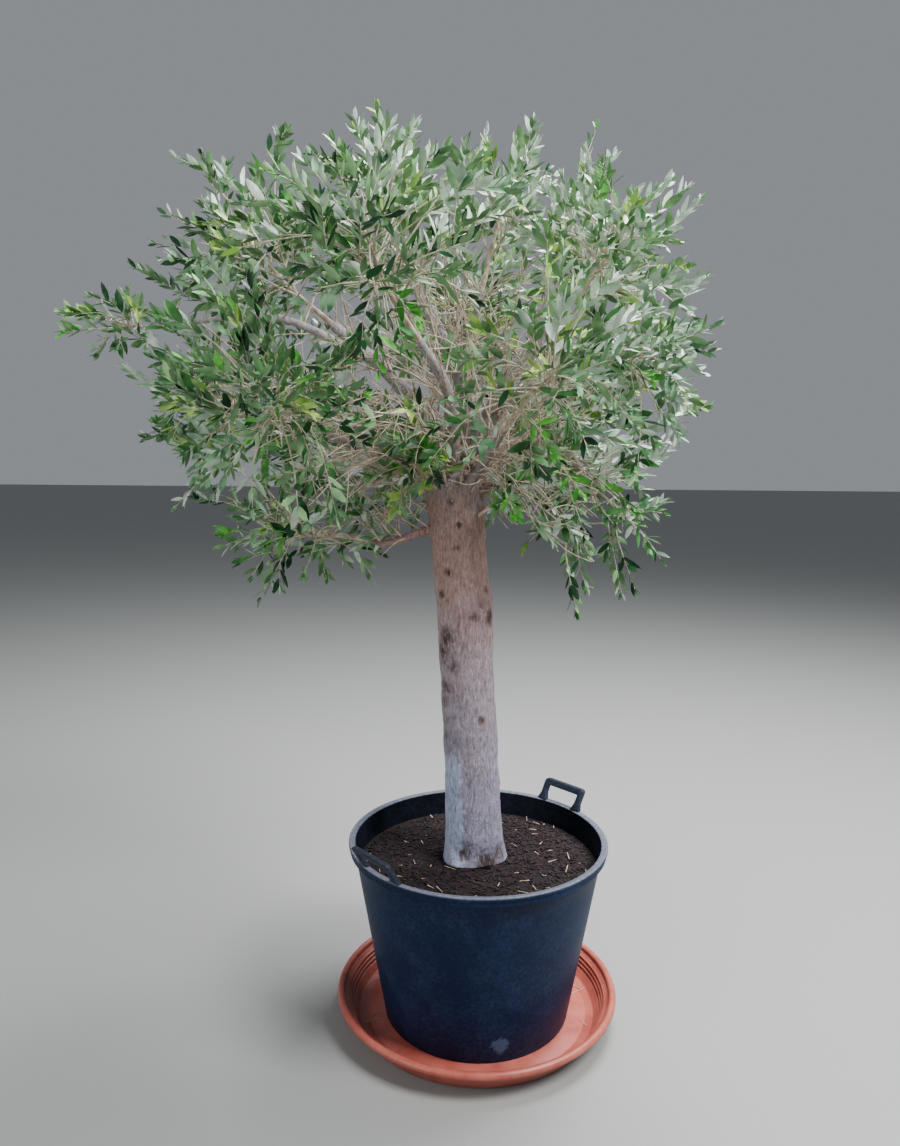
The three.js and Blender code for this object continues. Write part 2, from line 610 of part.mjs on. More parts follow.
// Leaves on a twig: pairs that cross each other by turns, and one at the tip
function addLeaves({ mass, stretches, twig, leafLength, random, outward, leaves }) {
    const [from, bend, tip] = twig;
    const spread = THREE.MathUtils.degToRad(LEAF_SPREAD);
    const scale = leafLength / LEAF_LENGTH;
    const earlier = leaves.flatMap((leaf) => leaf.spine);
    LEAF_PLACES.forEach(({ share, crossed, turn }) => {
        const [a, b] = share < 0.5 ? [from, bend] : [bend, tip];
        const along = b.clone().sub(a).normalize();
        const flat = new THREE.Vector3().crossVectors(along, outward).normalize();
        const side = crossed ? new THREE.Vector3().crossVectors(flat, along) : flat;
        const root = alongPath(twig, share);
        if (turn === 0) root.addScaledVector(along, -TIP_LEAF_SINK);
        const angle = spread * (1 + SPREAD_VARIES * (random() - 0.5));
        const way = along.clone();
        if (turn !== 0) way.multiplyScalar(Math.cos(angle)).addScaledVector(side, turn * Math.sin(angle));
        const tilt = (random() - 0.5) * LEAF_TILT;
        const normal = outward.clone().addScaledVector(way, -outward.dot(way)).normalize();
        normal.applyAxisAngle(way, tilt);
        const fullLength = leafLength * (turn === 0 ? 1 : SHORTEST_LEAF + LENGTH_VARIES * random());
        const spine = LEAF_SPINE.map((part) => root.clone().addScaledVector(way, leafLength * part));
        const near = (spot) => spine.some((own) => own.distanceTo(spot) < LEAF_SPACING * scale);
        const crowded = earlier.some(near);
        const length = LEAF_SIZES.map((size) => size * fullLength).find((each) => {
            const end = root.clone().addScaledVector(way, each);
            return fits(mass, stretches, root, end, (LEAF_WIDTH / 2) * (each / LEAF_LENGTH));
        });
        if (length && !crowded) leaves.push({ root, way, normal, length, spine });
    });
}

// A mass as one closed solid, cut clear of the trunk where it grows straight from it
function massSolid(mass, axes, stretches) {
    const { stem, twigs, leaves } = growMass(mass, axes, stretches);
    const stemRadii = [STEM_RADIUS, (STEM_RADIUS + STEM_TIP_RADIUS) / 2, STEM_TIP_RADIUS];
    const pieces = [tubeSolid(stem, stemRadii, STEM_SIDES)];
    const twigRadii = [TWIG_RADIUS, (TWIG_RADIUS + TWIG_TIP_RADIUS) / 2, TWIG_TIP_RADIUS];
    twigs.forEach((twig) => pieces.push(tubeSolid(twig, twigRadii, TWIG_SIDES)));
    leaves.forEach(({ root, way, normal, length }) => pieces.push(leafSolid(root, way, normal, length)));
    let solid = wasm.Manifold.union(pieces);
    if (mass.bough === 'trunk') solid = solid.subtract(trunkSolid(SEAT_GAP));
    return mainPiece(solid);
}

function olive() {
    const group = new THREE.Group();
    group.add(saucer(), pot(), soil());
    group.add(handle('handle_back', HANDLE_TURN), handle('handle_front', HANDLE_TURN + 180));
    group.add(meshOf('trunk', 'bark', geometryOf(trunkSolid(0))));
    const axes = boughAxes();
    boughSolids(axes).forEach(({ name, solid }) => group.add(meshOf(name, 'bark', geometryOf(solid))));
    MASSES.forEach((mass) => {
        mass.centre = massCentre(mass);
    });
    const stretches = limbStretches(axes);
    MASSES.forEach((mass) => {
        const own = stretches.filter((stretch) => stretch.name !== mass.bough);
        const solid = massSolid(mass, axes, own);
        group.add(meshOf(`foliage_${mass.name}`, 'foliage', geometryOf(solid)));
    });
    return group;
}

export default olive();
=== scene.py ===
# A potted olive tree in a black tub on a terracotta saucer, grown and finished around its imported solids.
# The growth is worked out in millimetres, as the solids are, and turned to metres where a mesh is made.
import math

import bpy
import numpy as np
from mathutils import Matrix, Vector, noise


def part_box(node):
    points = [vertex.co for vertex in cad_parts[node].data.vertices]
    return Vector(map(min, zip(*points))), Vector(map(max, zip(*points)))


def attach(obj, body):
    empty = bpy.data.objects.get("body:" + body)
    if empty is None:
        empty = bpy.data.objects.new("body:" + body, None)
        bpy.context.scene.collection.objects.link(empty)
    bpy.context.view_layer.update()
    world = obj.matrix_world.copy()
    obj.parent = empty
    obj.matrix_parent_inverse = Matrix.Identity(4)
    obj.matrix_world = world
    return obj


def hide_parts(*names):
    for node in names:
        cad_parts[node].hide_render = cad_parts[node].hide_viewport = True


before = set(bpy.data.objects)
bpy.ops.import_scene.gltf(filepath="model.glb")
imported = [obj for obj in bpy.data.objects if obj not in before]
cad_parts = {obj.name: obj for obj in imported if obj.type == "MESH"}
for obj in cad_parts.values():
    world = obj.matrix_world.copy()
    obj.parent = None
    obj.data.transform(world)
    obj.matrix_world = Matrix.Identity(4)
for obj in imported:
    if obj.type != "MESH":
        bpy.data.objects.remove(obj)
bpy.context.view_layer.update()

MM = 0.001
UP = Vector((0, 0, 1))
SEAT_GAP = 0.3

# The photograph's camera, found from the ellipses of the rim and the saucer
IMAGE_HEIGHT_PX = 1146
FOCAL_PX = 853
SENSOR_MM = 36
CAMERA_PLACE = (0.026, -1.910, 1.274)
CAMERA_TURN_DEG = 2.87
CAMERA_PITCH_DEG = 6.87
CAMERA_ROLL_DEG = 0.41

# Lamps in metres and watts: name, place, size and power, and the place that they all face
LAMPS = (
    ("key", (2.6, -1.4, 4.2), 1.8, 370),
    ("fill", (-3.0, -2.8, 2.2), 3.0, 88),
    ("top", (1.2, 1.4, 4.6), 2.0, 470),
)
LIT_PLACE = (0, 0, 1.1)
SURROUND_COLOUR = "#e6ebf3"
SURROUND_STRENGTH = 0.33
FLOOR_SIZE = 120
FLOOR_COLOUR = "#8f918f"

# Tub and saucer
SAUCER_RADIUS = 328
SAUCER_HEIGHT = 67
SAUCER_FLOOR_RADIUS = 281
SAUCER_FLOOR = 8
SAUCER_ROLL = 17
SAUCER_STEPS = (0.72, 0.58, 0.44, 0.3)
STEP_PROFILE = ((1.3, 0.0), (0.7, 0.012), (-0.7, 0.024), (-1.3, 0.036))
POT_SEAT = SAUCER_FLOOR + SEAT_GAP
POT_HEIGHT = 418
POT_BASE_RADIUS = 216
POT_TOP_RADIUS = 286
POT_RIM_RADIUS = 300
POT_WALL = 4
RIM_LIP = 15
RIM_SKIRT = 22
HANDLE_SWELL = 2.4
HANDLE_FLARE = 8
HANDLE_EDGE = 2.2
ROUND_SIDES = 128
CREASE_DEG = 40
SOFT_CREASE_DEG = 60

# Soil
SOIL_DROP = 51
SOIL_TOP = POT_SEAT + POT_HEIGHT - SOIL_DROP
SOIL_SLOPE = 6
SOIL_FLAT_RADIUS = 140
SOIL_RINGS = 43
CHIPS = 3600
CHIP_FIELD = 268
STRAWS = 16

# Loose mulch, dark, brown and pale: the draw that it ends at, its length and width, how high it lies
CHIP_KINDS = (
    (0.55, (5, 16), (2.2, 5), 1.2),
    (0.982, (5, 16), (2.2, 5), 1.2),
    (1, (8, 27), (1.2, 2.6), 3.6),
)

# Trunk
TRUNK_FOOT = SOIL_TOP + SEAT_GAP
TRUNK_HEAD = 1268
TRUNK_FOOT_X = -10
TRUNK_LEAN = -54
TRUNK_RADIUS = 60
TRUNK_TAPER = 3
FLARE_RADIUS = 12
FLARE_REACH = 70
ROOT_RIDGE = 5
ROOT_REACH = 45
COLLAR_RADIUS = 9
COLLAR_HEIGHT = 955
COLLAR_REACH = 55
HEAD_RADIUS = 7
HEAD_REACH = 70
HEAD_DOME = 34
HEAD_FLAT = 0.4
TRUNK_SIDES = 72
TRUNK_RINGS = 100
BARK_VOXEL = 3.6

# The crown's growth: the same named sizes and seeds as the solids'
CROWN_AXIS_X = -140
CROWN_HEART = Vector((-80, 0, 1330))
BOUGH_RINGS = 4
BOUGH_END = 0.8
STUB_LENGTH = 0.45
TWIG_RADIUS = 4.5
LEAF_SPAN = 126
LEAF_SPAN_WIDTH = 40
TIP_SINK = 4
LEAF_SPREAD = math.radians(56)
LEAF_SHARE = 0.76
LEAF_SPACING = 26
SPREAD_VARIES = 0.4
SHORTEST_LEAF = 0.84
LENGTH_VARIES = 0.22
LEAF_SIZES = (1, 0.75, 0.5)
LEAF_SPINE = (0.3, 0.55, 0.8)
TWIGS_PER_MASS = 6
FEWEST_TWIGS = 4
TWIG_BOW = 0.14
BACK_LIMIT = -0.4
FIRST_TWIG = 0.3
LAST_TWIG = 0.8
STEM_ELBOW = 0.6
STEM_END = 0.05
INNER_STEM_DROP = 90
MASS_SIZE = 215
FIRST_SEED = 11
RANDOM_FACTOR = 48271
RANDOM_SIZE = 2147483647
FIT_STEPS = 6
FIT_TIP = 0.15
SPACE_MARGIN = 2
TIP_ROOM = 10
LIMB_MARGIN = 4
LEAF_PLACES = (
    (0.35, False, 1), (0.35, False, -1), (0.6, True, 1), (0.6, True, -1),
    (0.85, False, 1), (0.85, False, -1), (1, False, 0),
)

# Boughs: name, the limb it grows on, where it starts there, a point it passes through, root and tip radius
BOUGHS = (
    ("centre_bough", "trunk", 1225, (-30, 12, 1400), 23, 12),
    ("right_bough", "trunk", 1215, (36, -8, 1440), 22, 11),
    ("left_bough", "trunk", 1225, (-168, -12, 1440), 22, 12),
    ("sawn_stub", "trunk", 1205, (-112, -26, 1262), 18, 15),
    ("left_side_bough", "trunk", 1238, (-225, 22, 1302), 15, 9),
    ("lower_left_bough", "trunk", 1165, (-215, -30, 1112), 13, 7),
    ("lower_right_bough", "trunk", 1205, (92, 16, 1268), 14, 8),
    ("front_left_bough", "trunk", 1205, (-215, -70, 1335), 15, 8),
    ("front_right_bough", "trunk", 1200, (22, -135, 1318), 15, 8),
    ("front_upper_bough", "trunk", 1235, (-72, -112, 1435), 17, 9),
    ("back_upper_bough", "trunk", 1230, (-80, 125, 1440), 19, 10),
    ("back_left_bough", "trunk", 1215, (-190, 135, 1318), 15, 8),
    ("back_right_bough", "trunk", 1215, (30, 150, 1318), 16, 8),
    ("back_low_bough", "trunk", 1175, (-85, 140, 1225), 13, 8),
    ("top_right_bough", "centre_bough", 0.5, (-22, 40, 1600), 13, 8),
    ("right_side_bough", "right_bough", 0.35, (95, -30, 1455), 13, 8),
    ("reaching_bough", "left_bough", 0.72, (-450, -30, 1600), 11, 6),
)

# Masses of foliage: name, bough, turn and distance about the crown's axis, height, size
MASS_ROWS = (
    ("top", "centre_bough", 157, 105, 1872, 216),
    ("top_right", "top_right_bough", 12, 175, 1825, 205),
    ("upper_right", "right_bough", 0, 395, 1722, 252),
    ("right", "right_side_bough", -10, 430, 1478, 228),
    ("lower_right", "lower_right_bough", 8, 398, 1190, 246),
    ("lower_left", "lower_left_bough", 176, 290, 1160, 236),
    ("left", "left_side_bough", 182, 415, 1430, 232),
    ("upper_left", "left_bough", 174, 352, 1735, 268),
    ("left_reach", "reaching_bough", 181, 655, 1585, 178),
    ("front_upper", "front_upper_bough", 262, 348, 1640, 232),
    ("front_right", "front_right_bough", 307, 400, 1432, 216),
    ("front_left", "front_left_bough", 233, 400, 1410, 216),
    ("back_upper", "back_upper_bough", 80, 348, 1680, 236),
    ("back_right", "back_right_bough", 40, 430, 1430, 226),
    ("back_left", "back_left_bough", 137, 430, 1430, 226),
    ("back_low", "back_low_bough", 88, 390, 1285, 196),
    ("inner_left", "trunk", 274, 128, 1305, 105),
    ("inner_right", "trunk", -22, 215, 1225, 105),
)

# Real leaves and shoots
LEAF_LENGTH = 47
LEAF_WIDTH = 15.5
LEAF_THICKNESS = 0.6
LEAF_FOLD = 0.2
PAIR_PITCH = 15.5
GAP_SHARE = 0.12
SHADED_MIDDLE = (-130, 1400)
SHADED_RADII = (330, 260)
SUNLIT_PLACE = 1640
LEAF_ANGLES = (26, 62)
LEAF_ANGLE_CLOSES = 16
LEAF_LENGTHS = (0.72, 1.16)
LEAF_CURLS = (-0.02, 0.13)
FILL_SHOOTS = 640
FILL_TRIES = 12000
FILL_REACH = 1.2
FILL_SHORTEST = 100
FILL_LEAFY_LENGTH = (75, 125)
FILL_STOUTNESS = 1.35
FILL_DROOP_HEIGHT = 1230
SHELL_START = 0.2
SHELL_FULL = 0.75
WINDOW_MIDDLE = Vector((-10, 0, 1440))
WINDOW_RADII = (185, 235)
WINDOW_SHARE = 0.36
LOW_HEIGHT = 1400
LOW_SHARE = 0.72
FRONT_DEPTH = -150
BARE_SHARE = 0.55
FRONT_SHARE = 0.88
BACK_DEPTH = 60
BACK_SHARE = 1.4
THIN_CORNER_Z = 2275
THIN_CORNER_SLOPE = 0.9
THIN_CORNER_SHARE = 0.4
THIN_LEFT = (-230, 1480)
THIN_LEFT_SHARE = 0.94
THIN_RIGHT = (40, 1330)
THIN_RIGHT_SHARE = 0.68
EDGE_SHOOTS = 90
EDGE_LENGTH = (110, 190)
EDGE_SHARE = 1.08
EDGE_HEIGHT = 1985
EDGE_RIGHT = 478
FRONT_TOP_SLOPE = 0.385
ARCHING_TWIGS = 136
CROWN_MIDDLE = Vector((-145, 10, 1515))
CROWN_RADII = Vector((612, 555, 505))
CROWN_HOLLOW = 0.42
LOW_MASS_HEIGHT = 1250
INNER_TWIGS = 22
INNER_LENGTHS = (110, 300)
INNER_MIDDLE = CROWN_HEART + UP * 170
INNER_REACH = 430
INNER_LOWEST = 1150
SPRAY_SPACING = 58

# A leaf's outline: share of its length, and half-width as a share of the widest
LEAF_RINGS = ((0.2, 0.7), (0.5, 1.0), (0.8, 0.62))

# Radii of the wood at root and tip
STEM_RADII = (6.5, 3.0)
INNER_STEM_RADII = (4.5, 3.0)
TWIG_RADII = (3.2, 1.5)
SPROUT_TWIG_RADII = (2.2, 1.4)
ARCH_RADII = (2.4, 1.0)
ARCH_FORK_RADII = (1.3, 0.6)
INNER_TWIG_RADII = (2.3, 0.9)
INNER_FORK_RADII = (1.2, 0.6)
SHOOT_RADII = (1.5, 0.7)

# The clear space round the trunk under the crown
CLEAR_HEIGHT = 1255
CLEAR_MIDDLE_X = -60
CLEAR_HALF_WIDTH = 175
CLEAR_DEPTH = 150

# Arching twigs: where they leave the trunk, their lengths, and the height under which they keep clear
ARCH_ROOT_HEIGHTS = (1215, 1290)
ARCH_ROOT_OUT = 50
ARCH_LENGTHS = (210, 400)
ARCH_CLEAR_HEIGHT = 1235

# Arching twigs: their reach in the crown, how much shorter they are, the heights of their tips, and the
# half-width that they leave clear under the crown
ARCHES_ALL_ROUND = (0.9, 1, (1160, 1440), 170)
ARCHES_LOW_RIGHT = (1.04, 0.82, (1050, 1300), 110)

# Long shoots that stand out past the crown in the photo: about where each one leaves it, and its tip
LONG_SHOOTS = (
    ((-423, 0, 1822), (-662, -20, 1936)), ((-486, 0, 1724), (-699, 10, 1828)),
    ((-516, 0, 1596), (-755, -30, 1704)), ((311, 0, 1720), (446, -20, 1833)),
    ((337, 0, 1578), (478, 20, 1692)), ((-183, 0, 1841), (-235, 0, 2040)),
    ((-114, 0, 1799), (-173, 40, 1989)), ((-43, 0, 1778), (2, 20, 1989)),
    ((161, 0, 1756), (234, 30, 1999)), ((193, 0, 1766), (269, 0, 1934)),
    ((-330, 0, 1206), (-496, -20, 985)), ((175, 0, 1133), (213, -20, 965)),
    ((274, 0, 1167), (347, 20, 1011)), ((-543, 0, 1383), (-761, 10, 1342)),
    ((-523, 0, 1272), (-685, -20, 1191)), ((344, 0, 1386), (478, -20, 1408)),
    ((33, 0, 1767), (73, 40, 1950)),
)

# Tufts of fresh leaves around the fork
SPROUTS = (
    (-105, -90, 1327), (46, -90, 1255), (-172, -80, 1236), (-292, -160, 1482), (-135, -140, 1524),
    (-57, -100, 1477), (80, -90, 1338), (-222, -120, 1356), (165, -80, 1308), (-361, -200, 1450),
    (-125, -85, 1268),
)
SPROUT_TONES = (5, 5, 2, 1)
SPROUT_LEAF = 1.2

# Leaf colours by spray: name, two close tones, and shares among sprouts, shaded, middle and sunlit sprays;
# the shaded shares paint shade and the sunlit shares paint light into the leaves
LEAF_TONES = (
    ("leaf_grey_green", "#3f7048", "#8bb58b", (0, 2, 5, 8)),
    ("leaf_mid_green", "#204d22", "#4b8546", (2, 5, 8, 2)),
    ("leaf_yellow_green", "#648a30", "#aacb64", (1, 1, 3, 5)),
    ("leaf_silver_green", "#93ab99", "#d8e5da", (0, 0, 1, 12)),
    ("leaf_deep_green", "#072911", "#1a4f27", (3, 8, 7, 1)),
    ("leaf_bright_green", "#2e7a22", "#5fb540", (6, 4, 2, 1)),
)
PALE_TONES = (0, 3)
UNDERSIDE_TONES = (
    ("leaf_underside_silver", "#8fa792", "#ccdacb"),
    ("leaf_underside_sage", "#4f764a", "#80a674"),
)
# Shares of darker sage undersides, under pale tones and under the rest: they go mostly with the darker tones
# and deepen the painted shade
SAGE_SHARE_PALE = 0.42
SAGE_SHARE = 0.86

# Seeds of the loose mulch and of each kind of growth
CHIP_SEED = 401
DRESS_SEED = 900
FILL_SEED = 1301
EDGE_SEED = 2203
LONG_SEED = 517
SPROUT_SEED = 919
ARCH_SEED = 3301
INNER_SEED = 777

# Knots, scars and dark patches on the trunk: height, turn from the front to the right in degrees, size,
# depth, darkness
KNOTS = (
    (1204, -8, 14, 3.0, 0.8), (1156, 6, 13, 3.5, 0.9), (1106, -4, 12, 3.0, 0.9), (1051, -24, 15, 3.0, 0.9),
    (1002, -45, 16, 3.0, 0.9), (977, 40, 30, 5.0, 0.5), (948, 62, 30, -6.0, 1.0), (905, -42, 34, -1.5, 1.0),
    (868, -58, 36, -1.5, 1.0), (838, -28, 26, -1.0, 0.8), (790, -52, 30, -1.0, 0.85),
    # The rows at heights 388 and 400 are broad dark patches on the trunk's foot, just above the soil
    (717, 26, 18, 2.0, 0.9), (672, -66, 20, -2.0, 0.8), (640, -30, 14, -1.0, 0.5), (411, -16, 26, -5.0, 1.0),
    (388, 28, 40, -1.0, 1.0), (952, 24, 20, -2.5, 0.8), (1012, 60, 18, -3.0, 0.8), (884, -6, 18, -1.0, 0.55),
    (756, -60, 24, -1.0, 0.7), (400, 58, 34, -1.0, 0.9), (1130, 110, 13, 3.5, 0.6),
    (985, 170, 14, 3.5, 0.6), (820, 130, 12, 3.0, 0.6), (690, -140, 14, 3.0, 0.6), (560, 95, 10, 2.5, 0.6),
    (900, 100, 30, -1.0, 0.6), (740, 160, 34, -1.0, 0.7), (1060, -120, 30, -1.0, 0.5),
)
KNOT_REACH = 2.2
# The strip of painted light on the left of the trunk's foot: its top, and how far left of the axis it begins
LIGHT_STRIP_TOP = 640
LIGHT_STRIP_SIDE = -18

# The bark's relief: heights, and grain sizes across and along the trunk
LUMP_HEIGHT = 2.6
LUMP_SIZE = 52
FLUTE_HEIGHT = 1.5
FLUTE_SIZE = (20, 130)
FINE_HEIGHT = 0.8
FINE_SIZE = (8, 14)

# The limescale patch low on the tub's front, and the heights between which its lip is paled by wear and by a
# painted reflection of the sky, in metres
LIME_PLACE = (0.056, -0.221, 0.052)
LIP_WEAR_AND_REFLECTION_HEIGHTS = (0.4225, 0.4258)

# How deep and how rough the noise of the finishes is
SOFT_CLOUDS = {"Detail": 6, "Roughness": 0.6}
ROUGH_GRAIN = {"Detail": 6, "Roughness": 0.7}
DEEP_GRAIN = {"Detail": 8, "Roughness": 0.7}


def linear(hex_colour):
    """An sRGB hex colour as the linear red, green, blue and alpha that a shader takes."""
    parts = [int(hex_colour[i:i + 2], 16) / 255 for i in (1, 3, 5)]
    return tuple(p / 12.92 if p <= 0.04045 else ((p + 0.055) / 1.055) ** 2.4 for p in parts) + (1,)


def per_metre(grain_mm):
    """The scale of a pattern whose grains or clouds are so many millimetres across."""
    return 1000 / grain_mm


def feed(node, inputs):
    """Sets a node's inputs to values, or links them to the outputs of other nodes."""
    for key, value in inputs.items():
        if isinstance(value, bpy.types.NodeSocket):
            node.id_data.links.new(value, node.inputs[key])
        else:
            node.inputs[key].default_value = value


def add(tree, kind, inputs, out=0, stops=(), **settings):
    """Adds a node with its settings, its ramp stops and its inputs, and gives one of its outputs."""
    made = tree.nodes.new("ShaderNode" + kind)
    for key, value in settings.items():
        setattr(made, key, value)
    for i, (place, colour) in enumerate(stops):
        ramp = made.color_ramp.elements
        stop = ramp[i] if i < 2 else ramp.new(place)
        stop.position = place
        stop.color = linear(colour) if isinstance(colour, str) else (colour, colour, colour, 1)
    feed(made, inputs)
    return made.outputs[out]


def material(name, roughness, ior=1.5, specular=0.5):
    """A new material: its node tree, its shader, and the piece's own coordinates in metres."""
    made = bpy.data.materials.new(name)
    made.use_nodes = True
    shader = made.node_tree.nodes["Principled BSDF"]
    feed(shader, {"Roughness": roughness, "IOR": ior, "Specular IOR Level": specular})
    return made, made.node_tree, shader, add(made.node_tree, "TexCoord", {}, "Object")


def black_polyethylene(name, dark, light, lip_wear_and_reflection):
    """Black polyethylene, moulded: a blue sheen, mottled dust, a lip paled by wear and a painted reflection,
    and a limescale patch.
    """
    made, tree, shader, place = material(name, 0.45, ior=1.51, specular=0.1)
    clouds = add(tree, "TexNoise", {"Vector": place, "Scale": per_metre(91), **DEEP_GRAIN})
    specks = add(tree, "TexNoise", {"Vector": place, "Scale": per_metre(8.33), **ROUGH_GRAIN})
    dust = add(tree, "Math", {0: clouds, 1: specks}, operation="MULTIPLY")
    shown = add(tree, "ValToRGB", {"Fac": dust}, stops=((0.2, 0.0), (0.36, 1.0)))
    tone = add(tree, "Mix", {0: shown, 6: linear(dark), 7: linear(light)}, 2, data_type="RGBA")
    height = add(tree, "SeparateXYZ", {"Vector": place}, "Z")
    # The flat top of the lip is paled, partly as wear and partly as a painted reflection of the sky.
    low, high = LIP_WEAR_AND_REFLECTION_HEIGHTS
    lip = add(tree, "MapRange", {"Value": height, "From Min": low, "From Max": high, "To Max": lip_wear_and_reflection})
    wear_and_reflection = add(tree, "Math", {0: lip, 1: specks}, operation="MULTIPLY")
    edged = add(tree, "Mix", {0: wear_and_reflection, 6: tone, 7: linear("#8f939d")}, 2, data_type="RGBA")
    away = add(tree, "VectorMath", {0: place, 1: LIME_PLACE}, "Value", operation="DISTANCE")
    near = add(tree, "MapRange", {"Value": away, "From Min": 0.042, "From Max": 0.004, "To Max": 0.62})
    mottle = add(tree, "TexNoise", {"Vector": place, "Scale": per_metre(16.13), **ROUGH_GRAIN})
    lime = add(tree, "Math", {0: near, 1: mottle}, operation="MULTIPLY")
    crust = add(tree, "MapRange", {"Value": lime, "From Min": 0.15, "From Max": 0.21})
    limed = add(tree, "Mix", {0: crust, 6: edged, 7: linear("#465877")}, 2, data_type="RGBA")
    rough = add(tree, "MapRange", {"Value": clouds, "To Min": 0.36, "To Max": 0.62})
    # The mould's grain is under half a millimetre wide, and drawn coarser so that it shows
    grain = add(tree, "TexNoise", {"Vector": place, "Scale": per_metre(2.38)})
    bump = add(tree, "Bump", {"Height": grain, "Strength": 0.12, "Distance": 0.6 * MM})
    feed(shader, {"Base Color": limed, "Roughness": rough, "Normal": bump})
    return made


def terracotta_polypropylene():
    """Terracotta-coloured polypropylene, moulded: a soft satin with paler scuffs and a little dirt."""
    made, tree, shader, place = material("terracotta_polypropylene", 0.42, ior=1.49)
    clouds = add(tree, "TexNoise", {"Vector": place, "Scale": per_metre(71.4), **SOFT_CLOUDS})
    tone = add(tree, "ValToRGB", {"Fac": clouds}, stops=((0.34, "#99453a"), (0.66, "#b26053")))
    specks = add(tree, "TexNoise", {"Vector": place, "Scale": per_metre(7.69), "Detail": 3})
    dirt = add(tree, "MapRange", {"Value": specks, "From Min": 0.6, "From Max": 0.74, "To Max": 0.5})
    dirty = add(tree, "Mix", {0: dirt, 6: tone, 7: linear("#6b3a28")}, 2, data_type="RGBA")
    # Drawn coarser than the mould's real grain, as on the tub
    grain = add(tree, "TexNoise", {"Vector": place, "Scale": per_metre(2.63)})
    bump = add(tree, "Bump", {"Height": grain, "Strength": 0.1, "Distance": 0.6 * MM})
    feed(shader, {"Base Color": dirty, "Normal": bump})
    return made


def mulch(name, dark, light):
    """Damp bark mulch: matt crumbs, darker where the noise that makes their bumps is low."""
    made, tree, shader, place = material(name, 0.9, specular=0.3)
    crumbs = add(tree, "TexNoise", {"Vector": place, "Scale": per_metre(9.09), **DEEP_GRAIN})
    tone = add(tree, "ValToRGB", {"Fac": crumbs}, stops=((0.36, dark), (0.64, light)))
    bump = add(tree, "Bump", {"Height": crumbs, "Strength": 0.6, "Distance": 4 * MM})
    feed(shader, {"Base Color": tone, "Normal": bump})
    return made


def olive_bark():
    """Old olive bark: warm brown by the fork and grey below, with dark flakes, painted shade in its fine
    hollows and a pale bluish strip of painted light on the left of its foot.
    """
    made, tree, shader, place = material("olive_bark", 0.85, specular=0.3)
    height = add(tree, "SeparateXYZ", {"Vector": place}, "Z")
    clouds = add(tree, "TexNoise", {"Vector": place, "Scale": per_metre(58.8), **SOFT_CLOUDS})
    shifted = add(tree, "Math", {0: clouds, 1: 0.34, 2: height}, operation="MULTIPLY_ADD")
    share = add(tree, "MapRange", {"Value": shifted, "From Min": 0.5, "From Max": 1.7})
    tone = add(tree, "ValToRGB", {"Fac": share}, stops=(
        (0.0, "#918fa8"), (1.0, "#b0a8ab"), (0.16, "#9591a5"), (0.3, "#958b97"), (0.46, "#a6949a"),
        (0.58, "#ab8a84"), (0.70, "#aa8880"), (0.78, "#a59a9c")))
    # A pale bluish strip of painted light on the left of the trunk's foot.
    painted_light_strip = add(tree, "Attribute", {}, "Fac", attribute_name="painted_light_strip")
    strip_lit = add(tree, "Mix", {0: painted_light_strip, 6: tone, 7: linear("#b4bfdb")}, 2, data_type="RGBA")
    # Bark fibres are a millimetre or two wide, and drawn as wide as its flakes so that they show
    fibre = (per_metre(5), per_metre(5), per_metre(19.23))
    fibres = add(tree, "Mapping", {"Vector": place, "Scale": fibre})
    flecks = add(tree, "TexNoise", {"Vector": fibres, "Scale": 1, "Detail": 5, "Roughness": 0.7})
    flake = (per_metre(5.263), per_metre(5.263), per_metre(21.74))
    flakes = add(tree, "Mapping", {"Vector": place, "Scale": flake})
    cracks = add(tree, "TexVoronoi", {"Vector": flakes, "Scale": 1}, "Distance", feature="DISTANCE_TO_EDGE")
    lines = add(tree, "MapRange", {"Value": cracks, "From Max": 0.14, "To Min": 0.66, "To Max": 0})
    broken = add(tree, "Math", {0: lines, 1: clouds}, operation="MULTIPLY")
    spots = add(tree, "MapRange", {"Value": flecks, "From Min": 0.47, "From Max": 0.68, "To Max": 0.7})
    # Darkness at knots and scars, in patches, and as painted shade where the fine relief sinks.
    scar_and_hollow_shade = add(tree, "Attribute", {}, "Fac", attribute_name="scar_and_hollow_shade")
    flaking = add(tree, "MapRange", {"Value": flecks, "From Min": 0.36, "From Max": 0.56,
                                     "To Min": 0.45, "To Max": 1.15})
    torn_and_hollow_shade = add(tree, "Math", {0: scar_and_hollow_shade, 1: flaking}, operation="MULTIPLY")
    dark = add(tree, "Math", {0: broken, 1: spots}, operation="MAXIMUM")
    darker = add(tree, "Math", {0: dark, 1: torn_and_hollow_shade}, operation="MAXIMUM")
    aged = add(tree, "Mix", {0: darker, 6: strip_lit, 7: linear("#43352f")}, 2, data_type="RGBA")
    pale = add(tree, "MapRange", {"Value": flecks, "From Min": 0.44, "From Max": 0.26, "To Max": 0.62})
    dusted = add(tree, "Mix", {0: pale, 6: aged, 7: linear("#c3bcbb")}, 2, data_type="RGBA")
    relief = add(tree, "Math", {0: flecks, 1: darker}, operation="SUBTRACT")
    bump = add(tree, "Bump", {"Height": relief, "Strength": 0.9, "Distance": 3 * MM})
    feed(shader, {"Base Color": dusted, "Normal": bump})
    return made


def twig_bark(name, dark, light):
    """Smooth bark of young olive wood: pinkish tan, in two close tones spread in soft clouds."""
    made, tree, shader, place = material(name, 0.7, specular=0.35)
    clouds = add(tree, "TexNoise", {"Vector": place, "Scale": per_metre(16.67), "Detail": 3})
    tone = add(tree, "ValToRGB", {"Fac": clouds}, stops=((0.38, dark), (0.62, light)))
    feed(shader, {"Base Color": tone})
    return made


